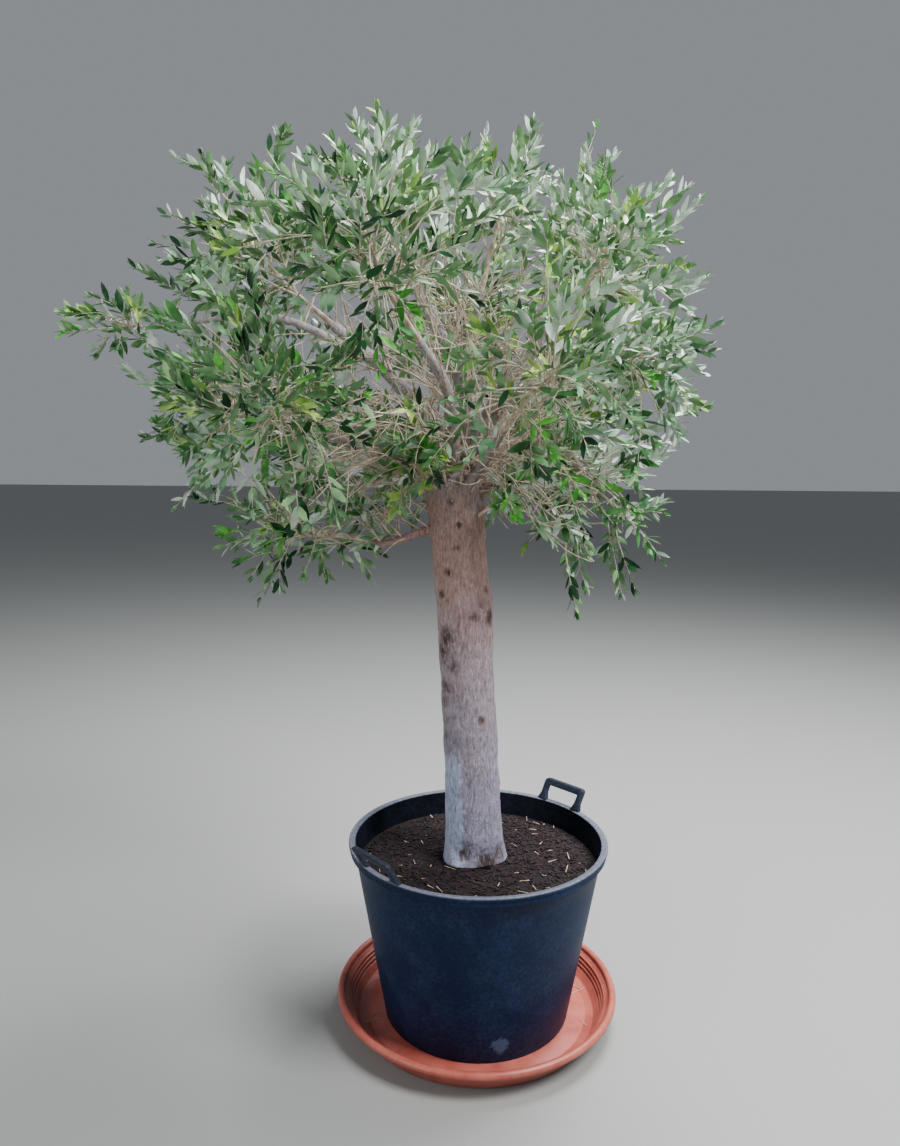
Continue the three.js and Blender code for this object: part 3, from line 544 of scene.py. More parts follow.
def olive_leaf(name, colour, other, roughness):
    """A leathery olive leaf's skin: a soft waxy sheen, two close tones, so that no two leaves are alike."""
    made, tree, shader, place = material(name, roughness, ior=1.45, specular=0.4)
    clouds = add(tree, "TexNoise", {"Vector": place, "Scale": per_metre(38.46)})
    tone = add(tree, "ValToRGB", {"Fac": clouds}, stops=((0.38, colour), (0.62, other)))
    feed(shader, {"Base Color": tone})
    return made


def select_only(piece):
    """Selects and activates one object and nothing else."""
    bpy.ops.object.select_all(action="DESELECT")
    piece.select_set(True)
    bpy.context.view_layer.objects.active = piece


def placed(name, data):
    """A new object in the scene that shows some data."""
    made = bpy.data.objects.new(name, data)
    bpy.context.scene.collection.objects.link(made)
    return made


def finish_piece(piece, materials, replaced=()):
    """Gives a piece its materials and its place on the body, and hides the solids that it stands for."""
    if piece.data.materials:
        piece.data.materials.clear()
    for each in materials:
        piece.data.materials.append(each)
    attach(piece, "root")
    if replaced:
        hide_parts(*replaced)


def apply_modifier(piece, kind, **settings):
    """Gives a piece a modifier with its settings and applies it."""
    modifier = piece.modifiers.new(kind.lower(), kind)
    for key, value in settings.items():
        setattr(modifier, key, value)
    select_only(piece)
    bpy.ops.object.modifier_apply(modifier=modifier.name)


def smooth(piece, degrees=CREASE_DEG):
    """Smooth shading, apart from edges sharper than an angle."""
    select_only(piece)
    bpy.ops.object.shade_smooth_by_angle(angle=math.radians(degrees))


def turned(name, profile, sides=ROUND_SIDES):
    """A round piece: a filled circle whose edge is extruded and resized from point to point of a profile."""
    (radius, height), *rest = profile
    bpy.ops.object.select_all(action="DESELECT")
    bpy.ops.mesh.primitive_circle_add(vertices=sides, radius=radius * MM, fill_type="NGON")
    piece = bpy.context.object
    piece.name = name
    bpy.ops.object.mode_set(mode="EDIT")
    bpy.ops.mesh.select_mode(type="EDGE")
    bpy.ops.mesh.select_all(action="SELECT")
    bpy.ops.transform.translate(value=(0, 0, height * MM))
    for next_radius, next_height in rest:
        rise = (next_height - height) * MM
        bpy.ops.mesh.extrude_edges_move(TRANSFORM_OT_translate={"value": (0, 0, rise)})
        scale = next_radius / radius
        bpy.ops.transform.resize(value=(scale, scale, 1), center_override=(0, 0, next_height * MM))
        radius, height = next_radius, next_height
    bpy.ops.mesh.edge_face_add()
    bpy.ops.mesh.select_all(action="SELECT")
    bpy.ops.mesh.normals_make_consistent(inside=False)
    bpy.ops.object.mode_set(mode="OBJECT")
    return piece


def pot_wall_radius(height):
    """The tub's outer radius at a height above its foot."""
    return POT_BASE_RADIUS + (POT_TOP_RADIUS - POT_BASE_RADIUS) * height / (POT_HEIGHT - RIM_SKIRT)


def make_pot(finish, shaded_inner_finish):
    """The tub: a tapered wall with a faint band below its rim, a rolled bead and a flat lip."""
    skirt = POT_RIM_RADIUS - 3
    wall_top = POT_HEIGHT - RIM_SKIRT
    rings = [(POT_BASE_RADIUS - 2.5, 0), (POT_BASE_RADIUS - 0.5, 0.8), (pot_wall_radius(4), 4)]
    rings += [(pot_wall_radius(height), height) for height in (60, 150, 250, 340)]
    rings += [
        (pot_wall_radius(wall_top - 2), wall_top - 2), (POT_TOP_RADIUS + 1.5, wall_top),
        (skirt - 2, wall_top + 0.5), (skirt, wall_top + 2.5), (skirt, POT_HEIGHT - 10),
        (POT_RIM_RADIUS - 0.8, POT_HEIGHT - 8.5), (POT_RIM_RADIUS, POT_HEIGHT - 6.5),
        (POT_RIM_RADIUS, POT_HEIGHT - 2.5), (POT_RIM_RADIUS - 1.2, POT_HEIGHT - 0.6),
        (POT_RIM_RADIUS - 3, POT_HEIGHT), (POT_RIM_RADIUS - 5, POT_HEIGHT - 0.9),
        (POT_RIM_RADIUS - RIM_LIP + 2.5, POT_HEIGHT - 1), (POT_RIM_RADIUS - RIM_LIP, POT_HEIGHT - 2.6),
        (POT_TOP_RADIUS - POT_WALL, wall_top), (pot_wall_radius(250) - POT_WALL, 250),
        (pot_wall_radius(5) - POT_WALL, 5),
    ]
    piece = turned("tub", [(radius, height + POT_SEAT) for radius, height in rings])
    smooth(piece)
    below_lip = (POT_SEAT + POT_HEIGHT - 2) * MM
    faces = piece.data.polygons
    # Faces that look inward below the lip take a darker, less blue copy of the finish, as painted shade
    # inside the tub.
    inward = [face.center.z < below_lip and face.center.xy.dot(face.normal.xy) < 0 for face in faces]
    faces.foreach_set("material_index", inward)
    finish_piece(piece, [finish, shaded_inner_finish], ["pot"])


def make_saucer(finish):
    """The saucer: a sloping wall with ring steps inside it and a thick rolled rim."""
    inner = SAUCER_RADIUS - SAUCER_ROLL
    half = SAUCER_ROLL / 2
    roll_out, roll_up = SAUCER_RADIUS - half, SAUCER_HEIGHT - half
    rise = SAUCER_HEIGHT - SAUCER_FLOOR
    slope = inner - SAUCER_FLOOR_RADIUS
    rings = [(SAUCER_FLOOR_RADIUS - 6, 0), (SAUCER_FLOOR_RADIUS - 1, 1.5), (SAUCER_FLOOR_RADIUS + 5, 8)]
    rings += [(inner + 2.5, SAUCER_HEIGHT - SAUCER_ROLL), (inner + 5, SAUCER_HEIGHT - SAUCER_ROLL + 0.5)]
    for degrees in range(-50, 196, 22):
        turn = math.radians(degrees)
        rings.append((roll_out + half * math.cos(turn), roll_up + half * math.sin(turn)))
    for step in SAUCER_STEPS:
        for side, drop in STEP_PROFILE:
            share = step - drop
            rings.append((SAUCER_FLOOR_RADIUS + slope * share + side, SAUCER_FLOOR + rise * share))
    rings += [(SAUCER_FLOOR_RADIUS - 2, SAUCER_FLOOR + 2), (SAUCER_FLOOR_RADIUS - 6, SAUCER_FLOOR)]
    rings += [(262, SAUCER_FLOOR), (260, SAUCER_FLOOR - 1.2), (256, SAUCER_FLOOR - 1.2), (254, SAUCER_FLOOR)]
    piece = turned("saucer_dish", rings)
    smooth(piece)
    finish_piece(piece, [finish], ["saucer"])


def make_handle(node, finish):
    """A carrying handle: its solid's loop with every edge rounded over, leaning a little outward."""
    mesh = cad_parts[node].data.copy()
    low, high = (corner[2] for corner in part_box(node))
    for vertex in mesh.vertices:
        outward = Vector((vertex.co.x, vertex.co.y, 0)).normalized()
        vertex.co += outward * HANDLE_FLARE * MM * (vertex.co.z - low) / (high - low)
    piece = placed("grip_" + node.split("_")[1], mesh)
    select_only(piece)
    bpy.ops.object.mode_set(mode="EDIT")
    bpy.ops.mesh.select_all(action="SELECT")
    bpy.ops.mesh.remove_doubles(threshold=1e-5)
    bpy.ops.mesh.dissolve_limited(angle_limit=math.radians(2))
    bpy.ops.mesh.normals_make_consistent(inside=False)
    bpy.ops.transform.shrink_fatten(value=HANDLE_SWELL * MM)
    bpy.ops.object.mode_set(mode="OBJECT")
    apply_modifier(piece, "BEVEL", width=HANDLE_EDGE * MM, segments=3, limit_method="ANGLE")
    smooth(piece)
    finish_piece(piece, [finish], [node])


def soil_height(x, y):
    """The soil's height in millimetres: flat round the trunk, lower by the wall, and lumpy all over."""
    out = math.hypot(x, y)
    fall = SOIL_SLOPE * max(0.0, (out - SOIL_FLAT_RADIUS) / (SOIL_FLAT_RADIUS * 0.98))
    lumps = 5.5 * noise.noise(Vector((x, y, 0)) / 34) + 3.0 * noise.noise(Vector((x, y, 9)) / 11)
    return SOIL_TOP - fall + lumps * min(1.0, (282 - out) / 20)


def make_soil(finish):
    """The soil: a crumbly surface inside the tub, closed down to the tub's floor."""
    foot = pot_wall_radius(6) - POT_WALL - SEAT_GAP
    edge = pot_wall_radius(POT_HEIGHT - SOIL_DROP - SOIL_SLOPE) - POT_WALL - SEAT_GAP
    rings = [(foot, POT_SEAT + 5 + SEAT_GAP), (edge, SOIL_TOP - SOIL_SLOPE)]
    rings += [(edge - 6 * i, SOIL_TOP) for i in range(1, SOIL_RINGS + 1)]
    piece = turned("soil_bed", rings)
    for vertex in piece.data.vertices:
        x, y, z = vertex.co / MM
        if z > SOIL_TOP - 1:
            vertex.co.z = soil_height(x, y) * MM
    smooth(piece, SOFT_CREASE_DEG)
    finish_piece(piece, [finish], ["soil"])


class Run:
    """A seeded run of even random numbers from 0 to 1."""

    def __init__(self, seed):
        self.state = seed
        for _ in range(3):
            self()

    def __call__(self):
        self.state = (self.state * RANDOM_FACTOR) % RANDOM_SIZE
        return self.state / RANDOM_SIZE

    def between(self, low, high):
        return low + (high - low) * self()

    def way(self):
        """A random direction."""
        z = self.between(-1, 1)
        turn = self.between(0, 2 * math.pi)
        flat = math.sqrt(1 - z * z)
        return Vector((flat * math.cos(turn), flat * math.sin(turn), z))


def many(name, verts, faces, tones):
    """One mesh from arrays: vertices of all copies, faces of all copies, and each face's material."""
    mesh = bpy.data.meshes.new(name)
    mesh.from_pydata(verts.tolist(), [], faces)
    mesh.polygons.foreach_set("material_index", tones)
    mesh.update()
    return placed(name, mesh)


def make_chips(finishes):
    """Slivers and flakes of wood on the soil, most of them dark, and a few straws in the saucer."""
    random = Run(CHIP_SEED)
    box = np.array([(x, y, z) for x in (-0.5, 0.5) for y in (-0.5, 0.5) for z in (-0.5, 0.5)])
    box[:, 1:] *= np.where(box[:, :1] > 0, 0.45, 1.0)
    sides = ((0, 1, 3, 2), (4, 6, 7, 5), (0, 4, 5, 1), (2, 3, 7, 6), (0, 2, 6, 4), (1, 5, 7, 3))
    verts, faces, tones = [], [], []

    def chip(place, turn, tilt, size, tone):
        spin = Matrix.Rotation(turn, 3, "Z") @ Matrix.Rotation(tilt, 3, "Y")
        base = len(verts) * 8
        verts.append((box * size) @ np.array(spin).T + np.array(place))
        faces.extend(tuple(base + i for i in side) for side in sides)
        tones.extend([tone] * len(sides))

    for _ in range(CHIPS):
        turn = random.between(0, 2 * math.pi)
        out = CHIP_FIELD * math.sqrt(random.between(0.045, 1))
        x, y = out * math.cos(turn), out * math.sin(turn)
        pick = random()
        tone = next(i for i, (end, *_) in enumerate(CHIP_KINDS) if pick < end)
        _, lengths, widths, lie = CHIP_KINDS[tone]
        long, wide = random.between(*lengths), random.between(*widths)
        size = (long, wide, wide * random.between(0.3, 0.6))
        place = (x, y, soil_height(x, y) + lie)
        chip(place, random.between(0, 6.3), random.between(-0.3, 0.3), size, tone)
    for _ in range(STRAWS):
        turn = random.between(-0.7, 3.9)
        out = random.between(238, CHIP_FIELD)
        size = (random.between(18, 48), 1.4, 1.2)
        place = (out * math.cos(turn), out * math.sin(turn), SAUCER_FLOOR + 1.0)
        chip(place, random.between(0, 6.3), 0.0, size, 2)
    piece = many("mulch_chips", np.concatenate(verts) * MM, faces, tones)
    finish_piece(piece, finishes)


def trunk_axis_x(height):
    """Where the leaning trunk's axis lies at a height."""
    share = max(0.0, (height - TRUNK_FOOT) / (TRUNK_HEAD - TRUNK_FOOT))
    return TRUNK_FOOT_X + TRUNK_LEAN * share ** 1.5


def trunk_radius(height, angle):
    """The trunk's radius: a slow taper, a flared, ridged foot, a collar on the right, a swollen head."""
    rise = height - TRUNK_FOOT
    share = rise / (TRUNK_HEAD - TRUNK_FOOT)
    radius = TRUNK_RADIUS + TRUNK_TAPER * (1 - share)
    radius += FLARE_RADIUS * math.exp(-rise / FLARE_REACH)
    radius += ROOT_RIDGE * math.cos(3 * angle + 0.4) * math.exp(-rise / ROOT_REACH)
    collar = COLLAR_RADIUS * max(0.0, math.cos(angle + 0.3))
    radius += collar * math.exp(-((height - COLLAR_HEIGHT) / COLLAR_REACH) ** 2)
    radius += HEAD_RADIUS * math.exp(-((height - TRUNK_HEAD + HEAD_DOME) / HEAD_REACH) ** 2)
    dome = max(0.0, height - (TRUNK_HEAD - HEAD_DOME)) / HEAD_DOME
    return radius * math.sqrt(max(HEAD_FLAT ** 2, 1 - dome ** 2))


def spaced(points, count):
    """Evenly spaced points on a smooth curve through a few points (a centripetal spline)."""
    ends = [points[0] * 2 - points[1], *points, points[-1] * 2 - points[-2]]
    fine = []
    divisions = 200
    for i in range(divisions + 1):
        along = (len(points) - 1) * i / divisions
        k = min(int(along), len(points) - 2)
        t = along - k
        p0, p1, p2, p3 = ends[k:k + 4]
        d0, d1, d2 = ((b - a).length ** 0.5 for a, b in ((p0, p1), (p1, p2), (p2, p3)))
        m1 = ((p1 - p0) / d0 - (p2 - p0) / (d0 + d1) + (p2 - p1) / d1) * d1
        m2 = ((p2 - p1) / d1 - (p3 - p1) / (d1 + d2) + (p3 - p2) / d2) * d1
        a, b = 2 * p1 - 2 * p2 + m1 + m2, -3 * p1 + 3 * p2 - 2 * m1 - m2
        fine.append(p1 + m1 * t + b * t * t + a * t * t * t)
    lengths = [0.0]
    for a, b in zip(fine, fine[1:]):
        lengths.append(lengths[-1] + (b - a).length)
    spots = []
    k = 0
    for i in range(count + 1):
        goal = lengths[-1] * i / count
        while k < divisions - 1 and lengths[k + 1] < goal:
            k += 1
        share = (goal - lengths[k]) / max(1e-9, lengths[k + 1] - lengths[k])
        spots.append(fine[k].lerp(fine[k + 1], share))
    return spots


def point_along(points, share):
    """The point at a share of the way along evenly spaced points."""
    place = min(max(share, 0.0), 1.0) * (len(points) - 1)
    k = min(int(place), len(points) - 2)
    return points[k].lerp(points[k + 1], place - k)


class Mass:
    """A mass of foliage: the ball that it keeps to, and the bough that bears it."""

    def __init__(self, index, row):
        self.name, self.bough, turn, out, height, self.size = row
        self.seed = FIRST_SEED + index
        angle = math.radians(turn)
        self.centre = Vector((CROWN_AXIS_X + out * math.cos(angle), out * math.sin(angle), height))
        self.outward = (self.centre - CROWN_HEART).normalized()


MASSES = [Mass(index, row) for index, row in enumerate(MASS_ROWS)]


def bough_curves():
    """Each bough's axis as fine, evenly spaced points, with its radii at root and tip."""
    curves = {}
    for name, parent, start, through, root_radius, tip_radius in BOUGHS:
        middle = Vector(through)
        if parent == "trunk":
            root = Vector((trunk_axis_x(start), 0, start))
        else:
            root = point_along(curves[parent][0], start)
        tip = middle.lerp(root, -STUB_LENGTH)
        mass = next((each for each in MASSES if each.bough == name), None)
        if mass:
            tip = mass.centre.lerp(middle, mass.size * BOUGH_END / (mass.centre - middle).length)
        curves[name] = (spaced([root, middle, tip], 24), root_radius, tip_radius)
    return curves


def limb_stretches(curves):
    """Every limb as short stretches with a radius, for keeping twigs and leaves clear of them."""
    stretches = []
    heights = [TRUNK_HEAD - 40 * i for i in range(9)]
    spots = [Vector((trunk_axis_x(height), 0, height)) for height in heights]
    reach = TRUNK_RADIUS + HEAD_RADIUS + COLLAR_RADIUS
    stretches += [("trunk", a, b, reach) for a, b in zip(spots, spots[1:])]
    for name, (points, root_radius, tip_radius) in curves.items():
        spots = [point_along(points, i / BOUGH_RINGS) for i in range(BOUGH_RINGS + 1)]
        for i in range(BOUGH_RINGS):
            radius = root_radius + (tip_radius - root_radius) * i / BOUGH_RINGS
            stretches.append((name, spots[i], spots[i + 1], radius))
    return stretches


def stretch_gap(point, stretch):
    """How far a point is from the surface of a stretch of a limb."""
    _, a, b, radius = stretch
    along = b - a
    share = min(1.0, max(0.0, (point - a).dot(along) / along.length_squared))
    return (point - a - along * share).length - radius


def room_at(mass, point):
    """Distance from a point to the edge of a mass's own space: its ball, and the borders with the others."""
    room = mass.size - (point - mass.centre).length
    for other in MASSES:
        if other is not mass:
            across = other.centre - mass.centre
            apart = across.length
            border = (apart ** 2 + mass.size ** 2 - other.size ** 2) / (2 * apart)
            room = min(room, border - (point - mass.centre).dot(across) / apart)
    return room


def fits(mass, stretches, start, end, half_width):
    """True where a straight piece stays in its mass's space and off every limb."""
    for i in range(1, FIT_STEPS + 1):
        share = i / FIT_STEPS
        point = start.lerp(end, share)
        width = half_width * min(1.0, 2 * share, 2 * (1 + FIT_TIP - share))
        if room_at(mass, point) < width + SPACE_MARGIN:
            return False
        if any(stretch_gap(point, stretch) < width + LIMB_MARGIN for stretch in stretches):
            return False
    return True


def bent(path, share):
    """The point at a share of the way along a path of two stretches."""
    start, middle, end = path
    return start.lerp(middle, share * 2) if share < 0.5 else middle.lerp(end, share * 2 - 1)


def spread_direction(index, count, turn):
    """Evenly spread directions, by the golden angle."""
    z = 1 - (2 * index + 1) / count
    around = index * math.pi * (3 - math.sqrt(5)) + turn
    flat = math.sqrt(1 - z * z)
    return Vector((flat * math.cos(around), flat * math.sin(around), z))


def stem_of(mass, curves):
    """A mass's stem: on from its bough's tip, or out of the trunk, then turning outward."""
    end = mass.centre + mass.outward * mass.size * STEM_END
    if mass.bough == "trunk":
        start = Vector((trunk_axis_x(mass.centre.z), 0, mass.centre.z - INNER_STEM_DROP))
        way = (mass.centre - start).normalized()
    else:
        points = curves[mass.bough][0]
        before, tip = point_along(points, 1 - 1 / BOUGH_RINGS), points[-1]
        way = (tip - before).normalized()
        start = tip + way * SEAT_GAP
    elbow = start + way * (start - mass.centre).length * STEM_ELBOW
    return [start, elbow, end]


def bear_leaves(mass, stretches, twig, span, random, leaves):
    """Where the solids' large leaves stand on a twig: crossing pairs, and one at the tip."""
    scale = span / LEAF_SPAN
    earlier = [spot for leaf in leaves for spot in leaf[3]]
    start, bend, tip = twig
    for share, crossed, turn in LEAF_PLACES:
        a, b = (start, bend) if share < 0.5 else (bend, tip)
        along = (b - a).normalized()
        flat = along.cross(mass.outward).normalized()
        side = flat.cross(along) if crossed else flat
        root = bent(twig, share)
        if turn == 0:
            root = root - along * TIP_SINK
        angle = LEAF_SPREAD * (1 + SPREAD_VARIES * (random() - 0.5))
        way = along * math.cos(angle) + side * turn * math.sin(angle) if turn else along.copy()
        random()
        full = span if turn == 0 else span * (SHORTEST_LEAF + LENGTH_VARIES * random())
        spine = [root + way * span * part for part in LEAF_SPINE]
        crowded = any((own - spot).length < LEAF_SPACING * scale for spot in earlier for own in spine)
        for size in LEAF_SIZES:
            length = size * full
            if fits(mass, stretches, root, root + way * length, LEAF_SPAN_WIDTH / 2 * length / LEAF_SPAN):
                if not crowded:
                    leaves.append((root, way, length, spine))
                break


def grow_mass(mass, curves, stretches):
    """The solids' growth: a stem, twigs to evenly spread points of the mass's space, and large leaves."""
    random = Run(mass.seed)
    stem = stem_of(mass, curves)
    count = max(FEWEST_TWIGS, round((mass.size / MASS_SIZE) ** 2 * TWIGS_PER_MASS))
    span = min(LEAF_SPAN, mass.size * LEAF_SHARE)
    turn = random() * math.pi * 2
    twigs, leaves = [], []
    for i in range(count):
        way = mass.outward.copy() if i == 0 else spread_direction(i, count, turn)
        facing = way.dot(mass.outward)
        turned_out = max(0.0, (facing - BACK_LIMIT) / (1 - BACK_LIMIT))
        start = bent(stem, FIRST_TWIG + (LAST_TWIG - FIRST_TWIG) * turned_out)
        reach = mass.size - span - TIP_ROOM * (1 + random())
        end = mass.centre + way * reach
        bow = (end - start).length * TWIG_BOW
        bend = start.lerp(end, 0.5) + mass.outward * bow * (0.4 + 0.6 * random())
        if facing > BACK_LIMIT and fits(mass, stretches, start, bend, TWIG_RADIUS) \
                and fits(mass, stretches, bend, end, TWIG_RADIUS):
            twigs.append([start, bend, end])
            bear_leaves(mass, stretches, twigs[-1], span, random, leaves)
    return stem, twigs, leaves


class Crown:
    """All that grows on the limbs: tubes of wood by kind, and leaves."""

    def __init__(self):
        self.stems, self.twigs, self.shoots, self.leaves = [], [], [], []

    def shoot(self, points, stoutness=1):
        """A shoot along a run of points, as stout as a common one or stouter at its root."""
        root_radius, tip_radius = SHOOT_RADII
        self.shoots.append((points, root_radius * stoutness, tip_radius))


def pick_tone(random, place, inner):
    """A leaf colour for a spray, by its place: deeper as painted shade inside the crown, more silver as
    painted light at its top and right.
    """
    across = (place.x - SHADED_MIDDLE[0]) / SHADED_RADII[0]
    above = (place.z - SHADED_MIDDLE[1]) / SHADED_RADII[1]
    deep = math.hypot(across, above) + random.between(-0.25, 0.25) < 1
    lit = place.x + place.z + random.between(-170, 170) > SUNLIT_PLACE
    column = 0 if inner else 1 if deep else 3 if lit else 2
    shares = [row[3][column] for row in LEAF_TONES]
    place = random() * sum(shares)
    for tone, share in enumerate(shares):
        place -= share
        if place < 0:
            return tone
    return 0


def crown_share(place):
    """How far out in the crown's round form a place lies: 0 in its middle, 1 at its edge."""
    across = place - CROWN_MIDDLE
    return Vector((across.x / CROWN_RADII.x, across.y / CROWN_RADII.y, across.z / CROWN_RADII.z)).length


def too_far(place):
    """True past the plant's height or right side, or above the crown's front, lower than its back."""
    front_top = CAMERA_PLACE[2] / MM + FRONT_TOP_SLOPE * (place.y - CAMERA_PLACE[1] / MM)
    return place.z > min(EDGE_HEIGHT, front_top) or place.x > EDGE_RIGHT


def leafiness(place):
    """How likely a shoot that ends there bears leaves: least inside the crown and in its open front."""
    likely = min(1.0, max(0.08, (crown_share(place) - SHELL_START) / (SHELL_FULL - SHELL_START)))
    beside = place - WINDOW_MIDDLE
    edge = math.hypot(beside.x / WINDOW_RADII[0], beside.z / WINDOW_RADII[1])
    if place.y < BACK_DEPTH:
        likely *= min(1.0, WINDOW_SHARE + max(0.0, edge - 0.6))
    if place.z < LOW_HEIGHT:
        likely *= LOW_SHARE
    if place.y < FRONT_DEPTH:
        likely *= FRONT_SHARE
    if place.y > BACK_DEPTH:
        likely = min(1.0, likely * BACK_SHARE)
    if place.z > THIN_CORNER_Z + THIN_CORNER_SLOPE * place.x:
        likely *= THIN_CORNER_SHARE
    if place.x < THIN_LEFT[0] and place.z < THIN_LEFT[1] and place.y < BACK_DEPTH:
        likely *= THIN_LEFT_SHARE
    if place.x > THIN_RIGHT[0] and place.z < THIN_RIGHT[1] and place.y < BACK_DEPTH:
        likely *= THIN_RIGHT_SHARE
    return likely


def leafy_shoot(crown, random, points, leafy_from, tone, droop, large=1.0):
    """Pairs of leaves along the outer part of a shoot, each pair turned across the one before it."""
    leafy = sum((b - a).length for a, b in zip(points, points[1:])) * (1 - leafy_from)
    pitch = PAIR_PITCH * (1 + 1.2 * max(0.0, droop))
    pairs = max(2, round(leafy / (pitch * random.between(0.9, 1.2))))
    turn = random.between(0, math.pi)
    for i in range(pairs + 1):
        share = leafy_from + (1 - leafy_from) * (i / pairs) ** 0.85
        root = point_along(points, share)
        ahead, behind = point_along(points, share + 0.06), point_along(points, share - 0.06)
        along = (ahead - behind).normalized()
        side = along.orthogonal().normalized()
        side.rotate(Matrix.Rotation(turn + i * math.pi / 2 + random.between(-0.35, 0.35), 3, along))
        size = (1 - 0.45 * (i / pairs) ** 3) * (0.75 + 0.25 * min(1.0, i))
        hands = (1, -1) if i < pairs else (1, -1, 0)
        for hand in hands:
            if hand and random() < GAP_SHARE:
                continue
            angle = math.radians(random.between(*LEAF_ANGLES) - LEAF_ANGLE_CLOSES * i / pairs)
            way = along * math.cos(angle) + side * hand * math.sin(angle) if hand else along.copy()
            way = (way + UP * (0.3 - droop) * random.between(0.3, 1.4)).normalized()
            face = (UP * 0.7 + along * 0.4 + random.way() * 0.75).normalized()
            normal = (face - way * face.dot(way)).normalized()
            length = LEAF_LENGTH * size * large * random.between(*LEAF_LENGTHS)
            # Darker sage undersides go more often with the darker tones, deepening the painted shade.
            under = int(random() < (SAGE_SHARE_PALE if tone in PALE_TONES else SAGE_SHARE))
            curl = random.between(*LEAF_CURLS)
            crown.leaves.append((*root, *way, *normal, length, curl, tone, under))


def shoot_path(start, end, lift, random):
    """A slightly bowed path between two points, lifted in its middle."""
    apart = (end - start).length
    middle = start.lerp(end, random.between(0.42, 0.6)) + UP * lift * apart + random.way() * apart * 0.07
    return spaced([start, middle, end], 6)


def dress_mass(crown, mass, curves, stretches):
    """A mass carried to finer twigs, with a leafy shoot for each of its large leaves; gives what it grew."""
    stem, twigs, leaves = grow_mass(mass, curves, stretches)
    random = Run(mass.seed + DRESS_SEED)
    inner = mass.bough == "trunk"
    low = mass.centre.z < LOW_MASS_HEIGHT and not inner
    crown.stems.append((spaced(stem, 8), *(INNER_STEM_RADII if inner else STEM_RADII)))
    crown.twigs += [(spaced(twig, 8), *TWIG_RADII) for twig in twigs]
    heads = []
    for root, way, length, _ in leaves:
        droop = random.between(0.1, 0.45) if low else random.between(-0.1, 0.1)
        end = root + way * length * 0.8 - UP * droop * length * 0.35
        leafy = inner or random() < leafiness(end)
        points = shoot_path(root, end if leafy else root.lerp(end, BARE_SHARE), 0.06, random)
        crown.shoot(points)
        if leafy:
            leafy_shoot(crown, random, points, 0.12, pick_tone(random, end, inner), droop)
        heads.append(points[4])
    bough = curves[mass.bough][0] if not inner else [stem[0], stem[1]]
    return bough, stem, twigs, heads


def under_crown(place, height, half_width):
    """True in the clear space round the trunk under the crown."""
    beside = abs(place.x - CLEAR_MIDDLE_X) < half_width
    return place.z < height and beside and place.y < CLEAR_DEPTH


def in_crown(place):
    """True inside the crown's round form, apart from its middle and the clear space under it."""
    under = under_crown(place, CLEAR_HEIGHT, CLEAR_HALF_WIDTH)
    return CROWN_HOLLOW < crown_share(place) < 1 and not under and not too_far(place)


def nearest_mass(place):
    """The number of the mass whose ball a place is deepest in, or nearest to."""
    depths = [(place - mass.centre).length_squared - mass.size ** 2 for mass in MASSES]
    return depths.index(min(depths))


def fill_crown(crown, grown):
    """Long shoots, bare at first and leafy at their ends, into the parts of the crown that are thin."""
    random = Run(FILL_SEED)
    heads = [head for *_, own in grown for head in own]
    full = len(heads) + FILL_SHOOTS
    for _ in range(FILL_TRIES):
        way = random.way()
        far = random.between(CROWN_HOLLOW, 1) ** 0.55
        end = CROWN_MIDDLE + Vector([part * radius for part, radius in zip(way, CROWN_RADII)]) * far
        index = nearest_mass(end)
        mass = MASSES[index]
        far_out = (end - mass.centre).length > mass.size * FILL_REACH
        if far_out or not in_crown(end) or any((end - head).length < SPRAY_SPACING for head in heads):
            continue
        bough, stem, twigs, _ = grown[index]
        sources = [bent(stem, random.between(0.1, 1)), point_along(bough, random.between(0.4, 1))]
        sources += [bent(twig, random.between(0.1, 0.7)) for twig in twigs]
        sources = [spot for spot in sources if (end - spot).length > FILL_SHORTEST]
        if not sources:
            continue
        start = min(sources, key=lambda spot: (end - spot).length * random.between(0.8, 1.4))
        droop = random.between(0.15, 0.5) if end.z < FILL_DROOP_HEIGHT else random.between(-0.15, 0.1)
        leafy = random() < leafiness(end)
        points = shoot_path(start, end if leafy else start.lerp(end, BARE_SHARE), 0.1, random)
        crown.shoot(points, FILL_STOUTNESS)
        leafy_from = max(0.3, 1 - random.between(*FILL_LEAFY_LENGTH) / (end - start).length)
        if leafy:
            tone = pick_tone(random, end, mass.bough == "trunk")
            leafy_shoot(crown, random, points, leafy_from, tone, droop)
        heads.append(end)
        if len(heads) == full:
            break


def edge_shoots(crown, grown):
    """Young shoots that stand out past the crown's outline, upright near its top and level at its sides."""
    random = Run(EDGE_SEED)
    outer = [(mass, own) for mass, (*_, own) in zip(MASSES, grown) if mass.bough != "trunk"]
    heads = [(mass.name, head) for mass, own in outer for head in own]
    for _ in range(EDGE_SHOOTS):
        name, head = heads[int(random() * len(heads))]
        away = ((head - CROWN_MIDDLE).normalized() + UP * 0.5 + random.way() * 0.35).normalized()
        end = head + away * random.between(*EDGE_LENGTH)
        points = shoot_path(head, end, random.between(-0.12, 0.02), random)
        past = crown_share(head) < 0.7 or crown_share(end) > EDGE_SHARE or too_far(end)
        if not past and name != "left_reach":
            crown.shoot(points)
            leafy_shoot(crown, random, points, 0.25, pick_tone(random, end, False), 0.0)


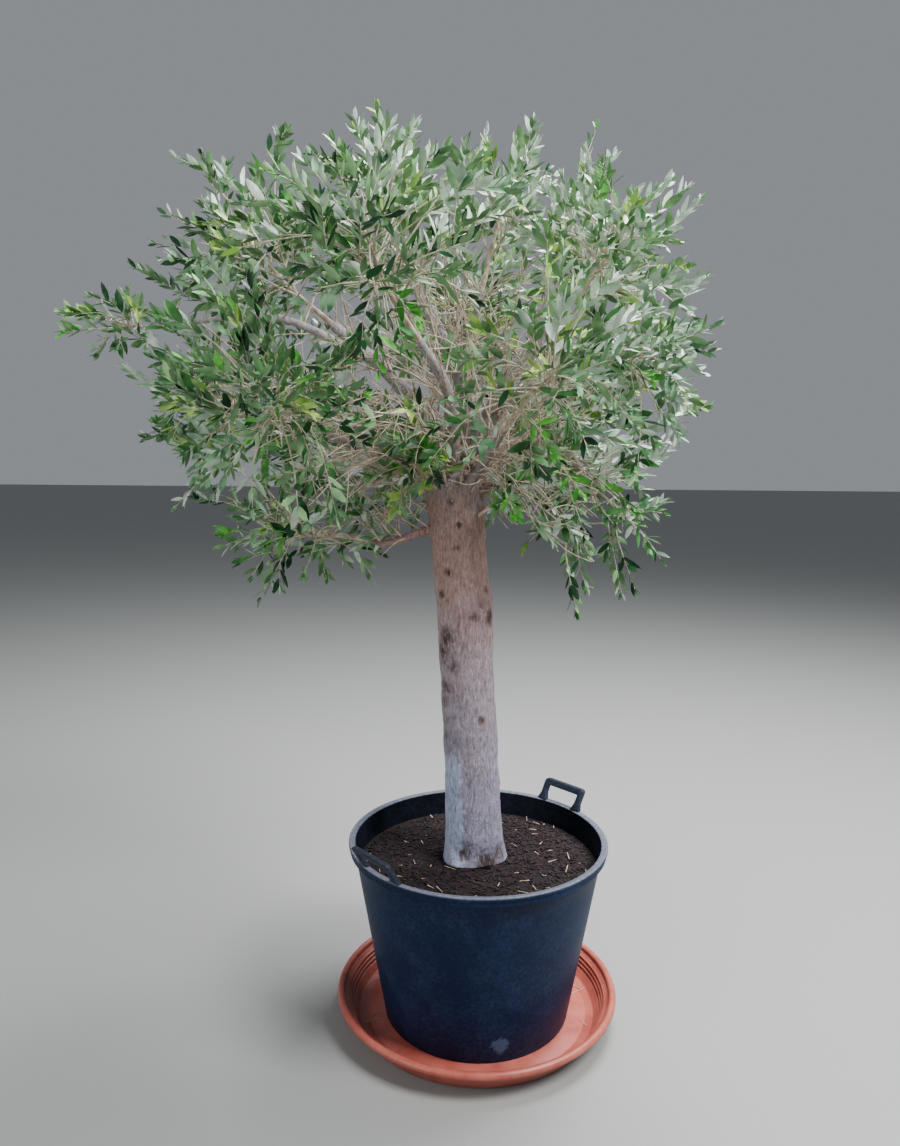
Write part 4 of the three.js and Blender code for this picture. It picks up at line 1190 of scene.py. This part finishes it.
def long_shoots(crown, grown):
    """The few shoots that stand out past the crown in the photo, each from the nearest grown twig."""
    random = Run(LONG_SEED)
    spots = [bent(twig, share) for _, _, twigs, _ in grown for twig in twigs for share in (0.4, 0.6, 0.8)]
    for near, tip in LONG_SHOOTS:
        near, tip = Vector(near), Vector(tip)
        start = min(spots, key=lambda spot: (spot - near).length)
        lift, droop = (40, 0.35) if tip.z < LOW_MASS_HEIGHT else (0, -0.05)
        points = spaced([start, near.lerp(tip, 0.35) + UP * lift, tip], 10)
        crown.shoot(points, 1.5)
        leafy_shoot(crown, random, points, 0.35, pick_tone(random, tip, False), droop)


def sprouts(crown, curves):
    """Tufts of fresh leaves on short twigs of the boughs around the fork."""
    random = Run(SPROUT_SEED)
    shares = (0.15, 0.35, 0.55, 0.75, 0.95)
    spots = [point_along(points, share) for points, *_ in curves.values() for share in shares]
    for number, place in enumerate(SPROUTS):
        tone = SPROUT_TONES[number % len(SPROUT_TONES)]
        middle = Vector(place)
        start = min(spots, key=lambda spot: (spot - middle).length)
        crown.twigs.append((shoot_path(start, middle, 0.05, random), *SPROUT_TWIG_RADII))
        away = (middle - start).normalized()
        for _ in range(4):
            way = (away * 0.7 + UP * 0.35 + random.way() * 0.8).normalized()
            points = shoot_path(middle, middle + way * random.between(40, 75), 0.0, random)
            crown.shoot(points)
            leafy_shoot(crown, random, points, 0.15, tone, 0.1, SPROUT_LEAF)


def arching_twigs(crown):
    """Long thin twigs that spring from the fork, arch over and hang outward, some with leafy ends."""
    random = Run(ARCH_SEED)
    for _ in range(ARCHING_TWIGS):
        turn = random.between(0, 2 * math.pi)
        away = Vector((math.cos(turn), math.sin(turn), 0))
        height = random.between(*ARCH_ROOT_HEIGHTS)
        start = Vector((trunk_axis_x(height), 0, height)) + away * ARCH_ROOT_OUT
        low_right = away.x > 0.3 and away.y < 0.3
        reach, shorter, heights, clear = ARCHES_LOW_RIGHT if low_right else ARCHES_ALL_ROUND
        end = start + away * random.between(*ARCH_LENGTHS) * shorter
        end.z = random.between(*heights)
        if under_crown(end, ARCH_CLEAR_HEIGHT, clear) or crown_share(end) > reach:
            continue
        points = shoot_path(start, end, random.between(0.06, 0.26), random)
        crown.twigs.append((points, *ARCH_RADII))
        for _ in range(3):
            fork = point_along(points, random.between(0.3, 0.9))
            tip = fork + (away + random.way() * 0.9).normalized() * random.between(60, 150)
            path = shoot_path(fork, tip, random.between(-0.1, 0.12), random)
            crown.shoots.append((path, *ARCH_FORK_RADII))
        if random() < 0.5:
            leafy_shoot(crown, random, points, 0.74, pick_tone(random, end, False), 0.2)


def inner_twigs(crown, curves):
    """The tangle inside the crown: long thin bare twigs that leave the boughs and arch outward."""
    random = Run(INNER_SEED)
    for points in [points for name, (points, *_) in curves.items() if name != "sawn_stub"]:
        for _ in range(INNER_TWIGS):
            share = random.between(0.12, 0.98)
            start = point_along(points, share)
            ahead, behind = point_along(points, share + 0.1), point_along(points, share - 0.1)
            along = (ahead - behind).normalized()
            way = (along * random.between(0.1, 0.9) + random.way() * 0.95 + UP * 0.25).normalized()
            length = random.between(*INNER_LENGTHS)
            end = start + way * length
            outside = (end - INNER_MIDDLE).length > INNER_REACH or end.z < INNER_LOWEST
            over_trunk = abs(end.x - trunk_axis_x(end.z)) < 90 and end.y < 60 and end.z < 1300
            if outside or over_trunk:
                continue
            path = shoot_path(start, end, random.between(-0.12, 0.16), random)
            crown.twigs.append((path, *INNER_TWIG_RADII))
            for _ in range(2):
                fork = point_along(path, random.between(0.35, 0.85))
                tip = fork + (way + random.way() * 0.8).normalized() * length * random.between(0.2, 0.45)
                crown.shoots.append((shoot_path(fork, tip, 0.08, random), *INNER_FORK_RADII))


def tubes(name, runs, sides):
    """One mesh of closed tapering tubes, each along its own run of points."""
    curve = bpy.data.curves.new(name, "CURVE")
    curve.dimensions = "3D"
    curve.bevel_depth = 1.0
    curve.bevel_resolution = sides // 2 - 2
    curve.use_fill_caps = True
    for points, root_radius, tip_radius in runs:
        spline = curve.splines.new("POLY")
        spline.points.add(len(points) - 1)
        last = len(points) - 1
        for i, point in enumerate(points):
            spline.points[i].co = (*(point * MM), 1)
            spline.points[i].radius = (root_radius + (tip_radius - root_radius) * i / last) * MM
    piece = placed(name, curve)
    select_only(piece)
    bpy.ops.object.convert(target="MESH")
    return piece


def trunk_form():
    """The trunk as a plain round form: a cylinder that is cut into rings, each moved to its own section."""
    bpy.ops.object.select_all(action="DESELECT")
    bpy.ops.mesh.primitive_cylinder_add(vertices=TRUNK_SIDES, radius=1, depth=1, end_fill_type="NGON")
    piece = bpy.context.object
    bpy.ops.object.mode_set(mode="EDIT")
    for i in range(1, TRUNK_RINGS):
        bpy.ops.mesh.select_all(action="SELECT")
        bpy.ops.mesh.bisect(plane_co=(0, 0, i / TRUNK_RINGS - 0.5), plane_no=(0, 0, 1))
    bpy.ops.object.mode_set(mode="OBJECT")
    for vertex in piece.data.vertices:
        height = TRUNK_FOOT + (vertex.co.z + 0.5) * (TRUNK_HEAD - TRUNK_FOOT)
        angle = math.atan2(vertex.co.y, vertex.co.x)
        radius = trunk_radius(height, angle)
        x = trunk_axis_x(height) + radius * math.cos(angle)
        vertex.co = Vector((x, radius * math.sin(angle), height)) * MM
    return piece


def knot_at(place):
    """How far a point of the trunk stands out for its knots, scars and dark patches, and how dark it is,
    from 0 to 1.
    """
    push, dark = 0.0, 0.0
    for height, turn, size, rise, depth in KNOTS:
        angle = math.radians(turn)
        radius = trunk_radius(height, angle - math.pi / 2)
        spot = Vector((trunk_axis_x(height) + radius * math.sin(angle), -radius * math.cos(angle), height))
        share = (place - spot).length / size
        if share < KNOT_REACH:
            ring = math.exp(-((share - 0.75) / 0.4) ** 2) - 0.7 * math.exp(-(share / 0.5) ** 2)
            push += rise * (ring if rise > 0 else math.exp(-share ** 2))
            ragged = share * (1 + 0.5 * noise.noise(place / 7))
            dark = max(dark, depth * math.exp(-(ragged / 0.85) ** 2))
    return push, dark


def painted_light_strip_at(place):
    """How much painted light pales the trunk at a point, from 0 to 1: a ragged bluish strip on the left of
    its foot.
    """
    ragged = 9 * noise.noise(place / 13) + 5 * noise.noise(place / 5)
    beside = trunk_axis_x(place.z) + LIGHT_STRIP_SIDE - place.x + ragged
    below = LIGHT_STRIP_TOP - place.z + 2 * ragged
    return min(1.0, max(0.0, beside / 10)) * min(1.0, max(0.0, below / 24))


def grain(place, across, along):
    """Noise whose grains have one size across the trunk and another along it."""
    return noise.noise(Vector((place.x / across, place.y / across, place.z / along)))


def make_bark(curves, finish):
    """Trunk and boughs as one skin: joined, blended at the forks, then given knots, flutes and cracks."""
    limbs = tubes("limbs", [(points, root, tip) for points, root, tip in curves.values()], 16)
    trunk = trunk_form()
    select_only(trunk)
    limbs.select_set(True)
    bpy.ops.object.join()
    trunk.name = "bark_skin"
    apply_modifier(trunk, "REMESH", mode="VOXEL", voxel_size=BARK_VOXEL * MM)
    apply_modifier(trunk, "SMOOTH", factor=0.5, iterations=5)
    scars_and_hollow_shade, painted_light_strips = [], []
    normals = [vertex.normal.copy() for vertex in trunk.data.vertices]
    for vertex, normal in zip(trunk.data.vertices, normals):
        place = vertex.co / MM
        lumps = LUMP_HEIGHT * noise.noise(place / LUMP_SIZE)
        flutes = FLUTE_HEIGHT * grain(place, *FLUTE_SIZE)
        fine = FINE_HEIGHT * grain(place, *FINE_SIZE)
        push, dark = knot_at(place) if place.z < TRUNK_HEAD else (0.0, 0.0)
        thin = 1.0 if place.z < TRUNK_HEAD - 30 else 0.35
        vertex.co += normal * ((lumps + flutes + fine) * thin + push) * MM
        patch = 0.5 * min(1.0, max(0.0, noise.noise(place / 34 + Vector((7, 3, 1))) * 3.2 - 1.1))
        painted_light_strips.append(painted_light_strip_at(place))
        # Dark at knots, in patches away from the strip of painted light, and where the fine relief sinks, as
        # painted shade in its hollows.
        scars_and_hollow_shade.append(max(dark, patch * (1 - painted_light_strips[-1]), min(1.0, max(0.0, -fine * 0.6))))
    trunk.data.attributes.new("scar_and_hollow_shade", "FLOAT", "POINT").data.foreach_set("value", scars_and_hollow_shade)
    trunk.data.attributes.new("painted_light_strip", "FLOAT", "POINT").data.foreach_set("value", painted_light_strips)
    smooth(trunk, 180)
    finish_piece(trunk, [finish], ["trunk", *curves])


def leaf_faces():
    """Faces of one leaf: above (left and right of the rib), then the same below, turned over."""
    above = [(0, 2, 1), (0, 3, 2)]
    for i in (0, 1):
        a, b = 1 + 4 * i, 5 + 4 * i
        above += [(a, a + 1, b + 1, b), (a + 1, a + 2, b + 2, b + 1)]
    above += [(9, 10, 13), (10, 11, 13)]
    swap = {2: 4, 6: 8, 10: 12}
    below = [tuple(swap.get(i, i) for i in reversed(face)) for face in above]
    return above, below


def make_leaves(name, leaves, finishes, nodes):
    """All the leaves of a part of the crown in one mesh, each a folded, slightly curled blade."""
    rows = np.array(leaves)
    root, way, normal = rows[:, 0:3], rows[:, 3:6], rows[:, 6:9]
    length, curl = rows[:, 9:10], rows[:, 10:11]
    side = np.cross(normal, way)
    half = LEAF_WIDTH / 2 * (length / LEAF_LENGTH) * (0.86 + 2.2 * curl)
    spots = [root]
    for share, width in LEAF_RINGS:
        middle = root + way * length * share - normal * curl * length * share ** 2
        lift = normal * half * width * LEAF_FOLD
        thick = normal * LEAF_THICKNESS / 2
        spots += [middle + side * half * width + lift, middle + thick, middle - side * half * width + lift,
                  middle - thick]
    spots.append(root + way * length - normal * curl * length)
    verts = np.stack(spots, axis=1).reshape(-1, 3) * MM
    above, below = leaf_faces()
    pattern = above + below
    faces = [tuple(14 * n + i for i in face) for n in range(len(rows)) for face in pattern]
    tones = np.empty((len(rows), len(pattern)), dtype=np.int32)
    tones[:, :len(above)] = rows[:, 11:12]
    tones[:, len(above):] = rows[:, 12:13] + len(LEAF_TONES)
    piece = many(name, verts, faces, tones.ravel())
    smooth(piece, SOFT_CREASE_DEG)
    finish_piece(piece, finishes, nodes)


def make_crown():
    """The crown: bark over the limbs, then twigs, shoots and leaves in a few joined pieces."""
    curves = bough_curves()
    make_bark(curves, olive_bark())
    stretches = limb_stretches(curves)
    crown = Crown()
    grown = []
    for mass in MASSES:
        own = [stretch for stretch in stretches if stretch[0] != mass.bough]
        grown.append(dress_mass(crown, mass, curves, own))
    fill_crown(crown, grown)
    edge_shoots(crown, grown)
    long_shoots(crown, grown)
    sprouts(crown, curves)
    arching_twigs(crown)
    inner_twigs(crown, curves)
    old_wood = twig_bark("twig_bark_tan", "#9c8678", "#cbb9aa")
    young_wood = twig_bark("shoot_bark_green_tan", "#a8a288", "#d2cab2")
    finish_piece(tubes("stems", crown.stems, 8), [old_wood])
    finish_piece(tubes("twigs", crown.twigs, 6), [old_wood])
    finish_piece(tubes("shoots", crown.shoots, 4), [young_wood])
    finishes = [olive_leaf(name, dark, light, 0.36) for name, dark, light, _ in LEAF_TONES]
    finishes += [olive_leaf(name, dark, light, 0.6) for name, dark, light in UNDERSIDE_TONES]
    nodes = ["foliage_" + mass.name for mass in MASSES]
    make_leaves("leaves_front", [leaf for leaf in crown.leaves if leaf[1] < 0], finishes, nodes)
    make_leaves("leaves_back", [leaf for leaf in crown.leaves if leaf[1] >= 0], finishes, ())


def set_camera():
    """The camera at the photograph's place, turn, pitch and roll."""
    data = bpy.data.cameras.new("camera")
    data.sensor_width = SENSOR_MM
    data.lens = FOCAL_PX / IMAGE_HEIGHT_PX * SENSOR_MM
    camera = placed("camera", data)
    turn, pitch, roll = (math.radians(a) for a in (CAMERA_TURN_DEG, CAMERA_PITCH_DEG, CAMERA_ROLL_DEG))
    ahead = Vector((-math.sin(turn) * math.cos(pitch), math.cos(turn) * math.cos(pitch), -math.sin(pitch)))
    right = ahead.cross(UP).normalized()
    top = right.cross(ahead)
    tilted = right * math.cos(roll) + top * math.sin(roll)
    top = tilted.cross(ahead)
    camera.matrix_world = Matrix((tilted, top, -ahead)).transposed().to_4x4()
    camera.location = CAMERA_PLACE
    bpy.context.scene.camera = camera


def set_light():
    """Soft light: a pale surround, a key from the upper right, a weak fill and a top light from behind."""
    world = bpy.data.worlds.new("studio")
    world.use_nodes = True
    surround = world.node_tree.nodes["Background"]
    feed(surround, {"Color": linear(SURROUND_COLOUR), "Strength": SURROUND_STRENGTH})
    bpy.context.scene.world = world
    for name, place, size, power in LAMPS:
        data = bpy.data.lights.new(name, "AREA")
        data.size = size
        data.energy = power
        lamp = placed(name, data)
        lamp.location = place
        lamp.rotation_euler = (Vector(LIT_PLACE) - Vector(place)).to_track_quat("-Z", "Y").to_euler()


def set_floor():
    """A plain pale floor."""
    bpy.ops.object.select_all(action="DESELECT")
    bpy.ops.mesh.primitive_plane_add(size=FLOOR_SIZE)
    floor = bpy.context.object
    floor.name = "floor"
    made, _, shader, _ = material("matt_paper", 0.95)
    feed(shader, {"Base Color": linear(FLOOR_COLOUR)})
    floor.data.materials.append(made)


set_camera()
set_light()
set_floor()
# The tub's inside takes a darker copy of its finish, as painted shade.
make_pot(black_polyethylene("black_polyethylene_tub", "#0f1c37", "#202f4b", 0.95),
         black_polyethylene("black_polyethylene_inside_painted_shade", "#090c13", "#171d29", 0.6))
handle_finish = black_polyethylene("black_polyethylene_handles", "#0b1322", "#1b2637", 0.12)
for handle in ("handle_back", "handle_front"):
    make_handle(handle, handle_finish)
make_saucer(terracotta_polypropylene())
make_soil(mulch("damp_mulch", "#0a0709", "#20171a"))
make_chips([mulch("mulch_chip_dark", "#0f0a0c", "#271c1e"), mulch("mulch_chip_brown", "#211618", "#3d2b2d"),
            mulch("wood_sliver_pale", "#9c8775", "#cdb9a4")])
make_crown()
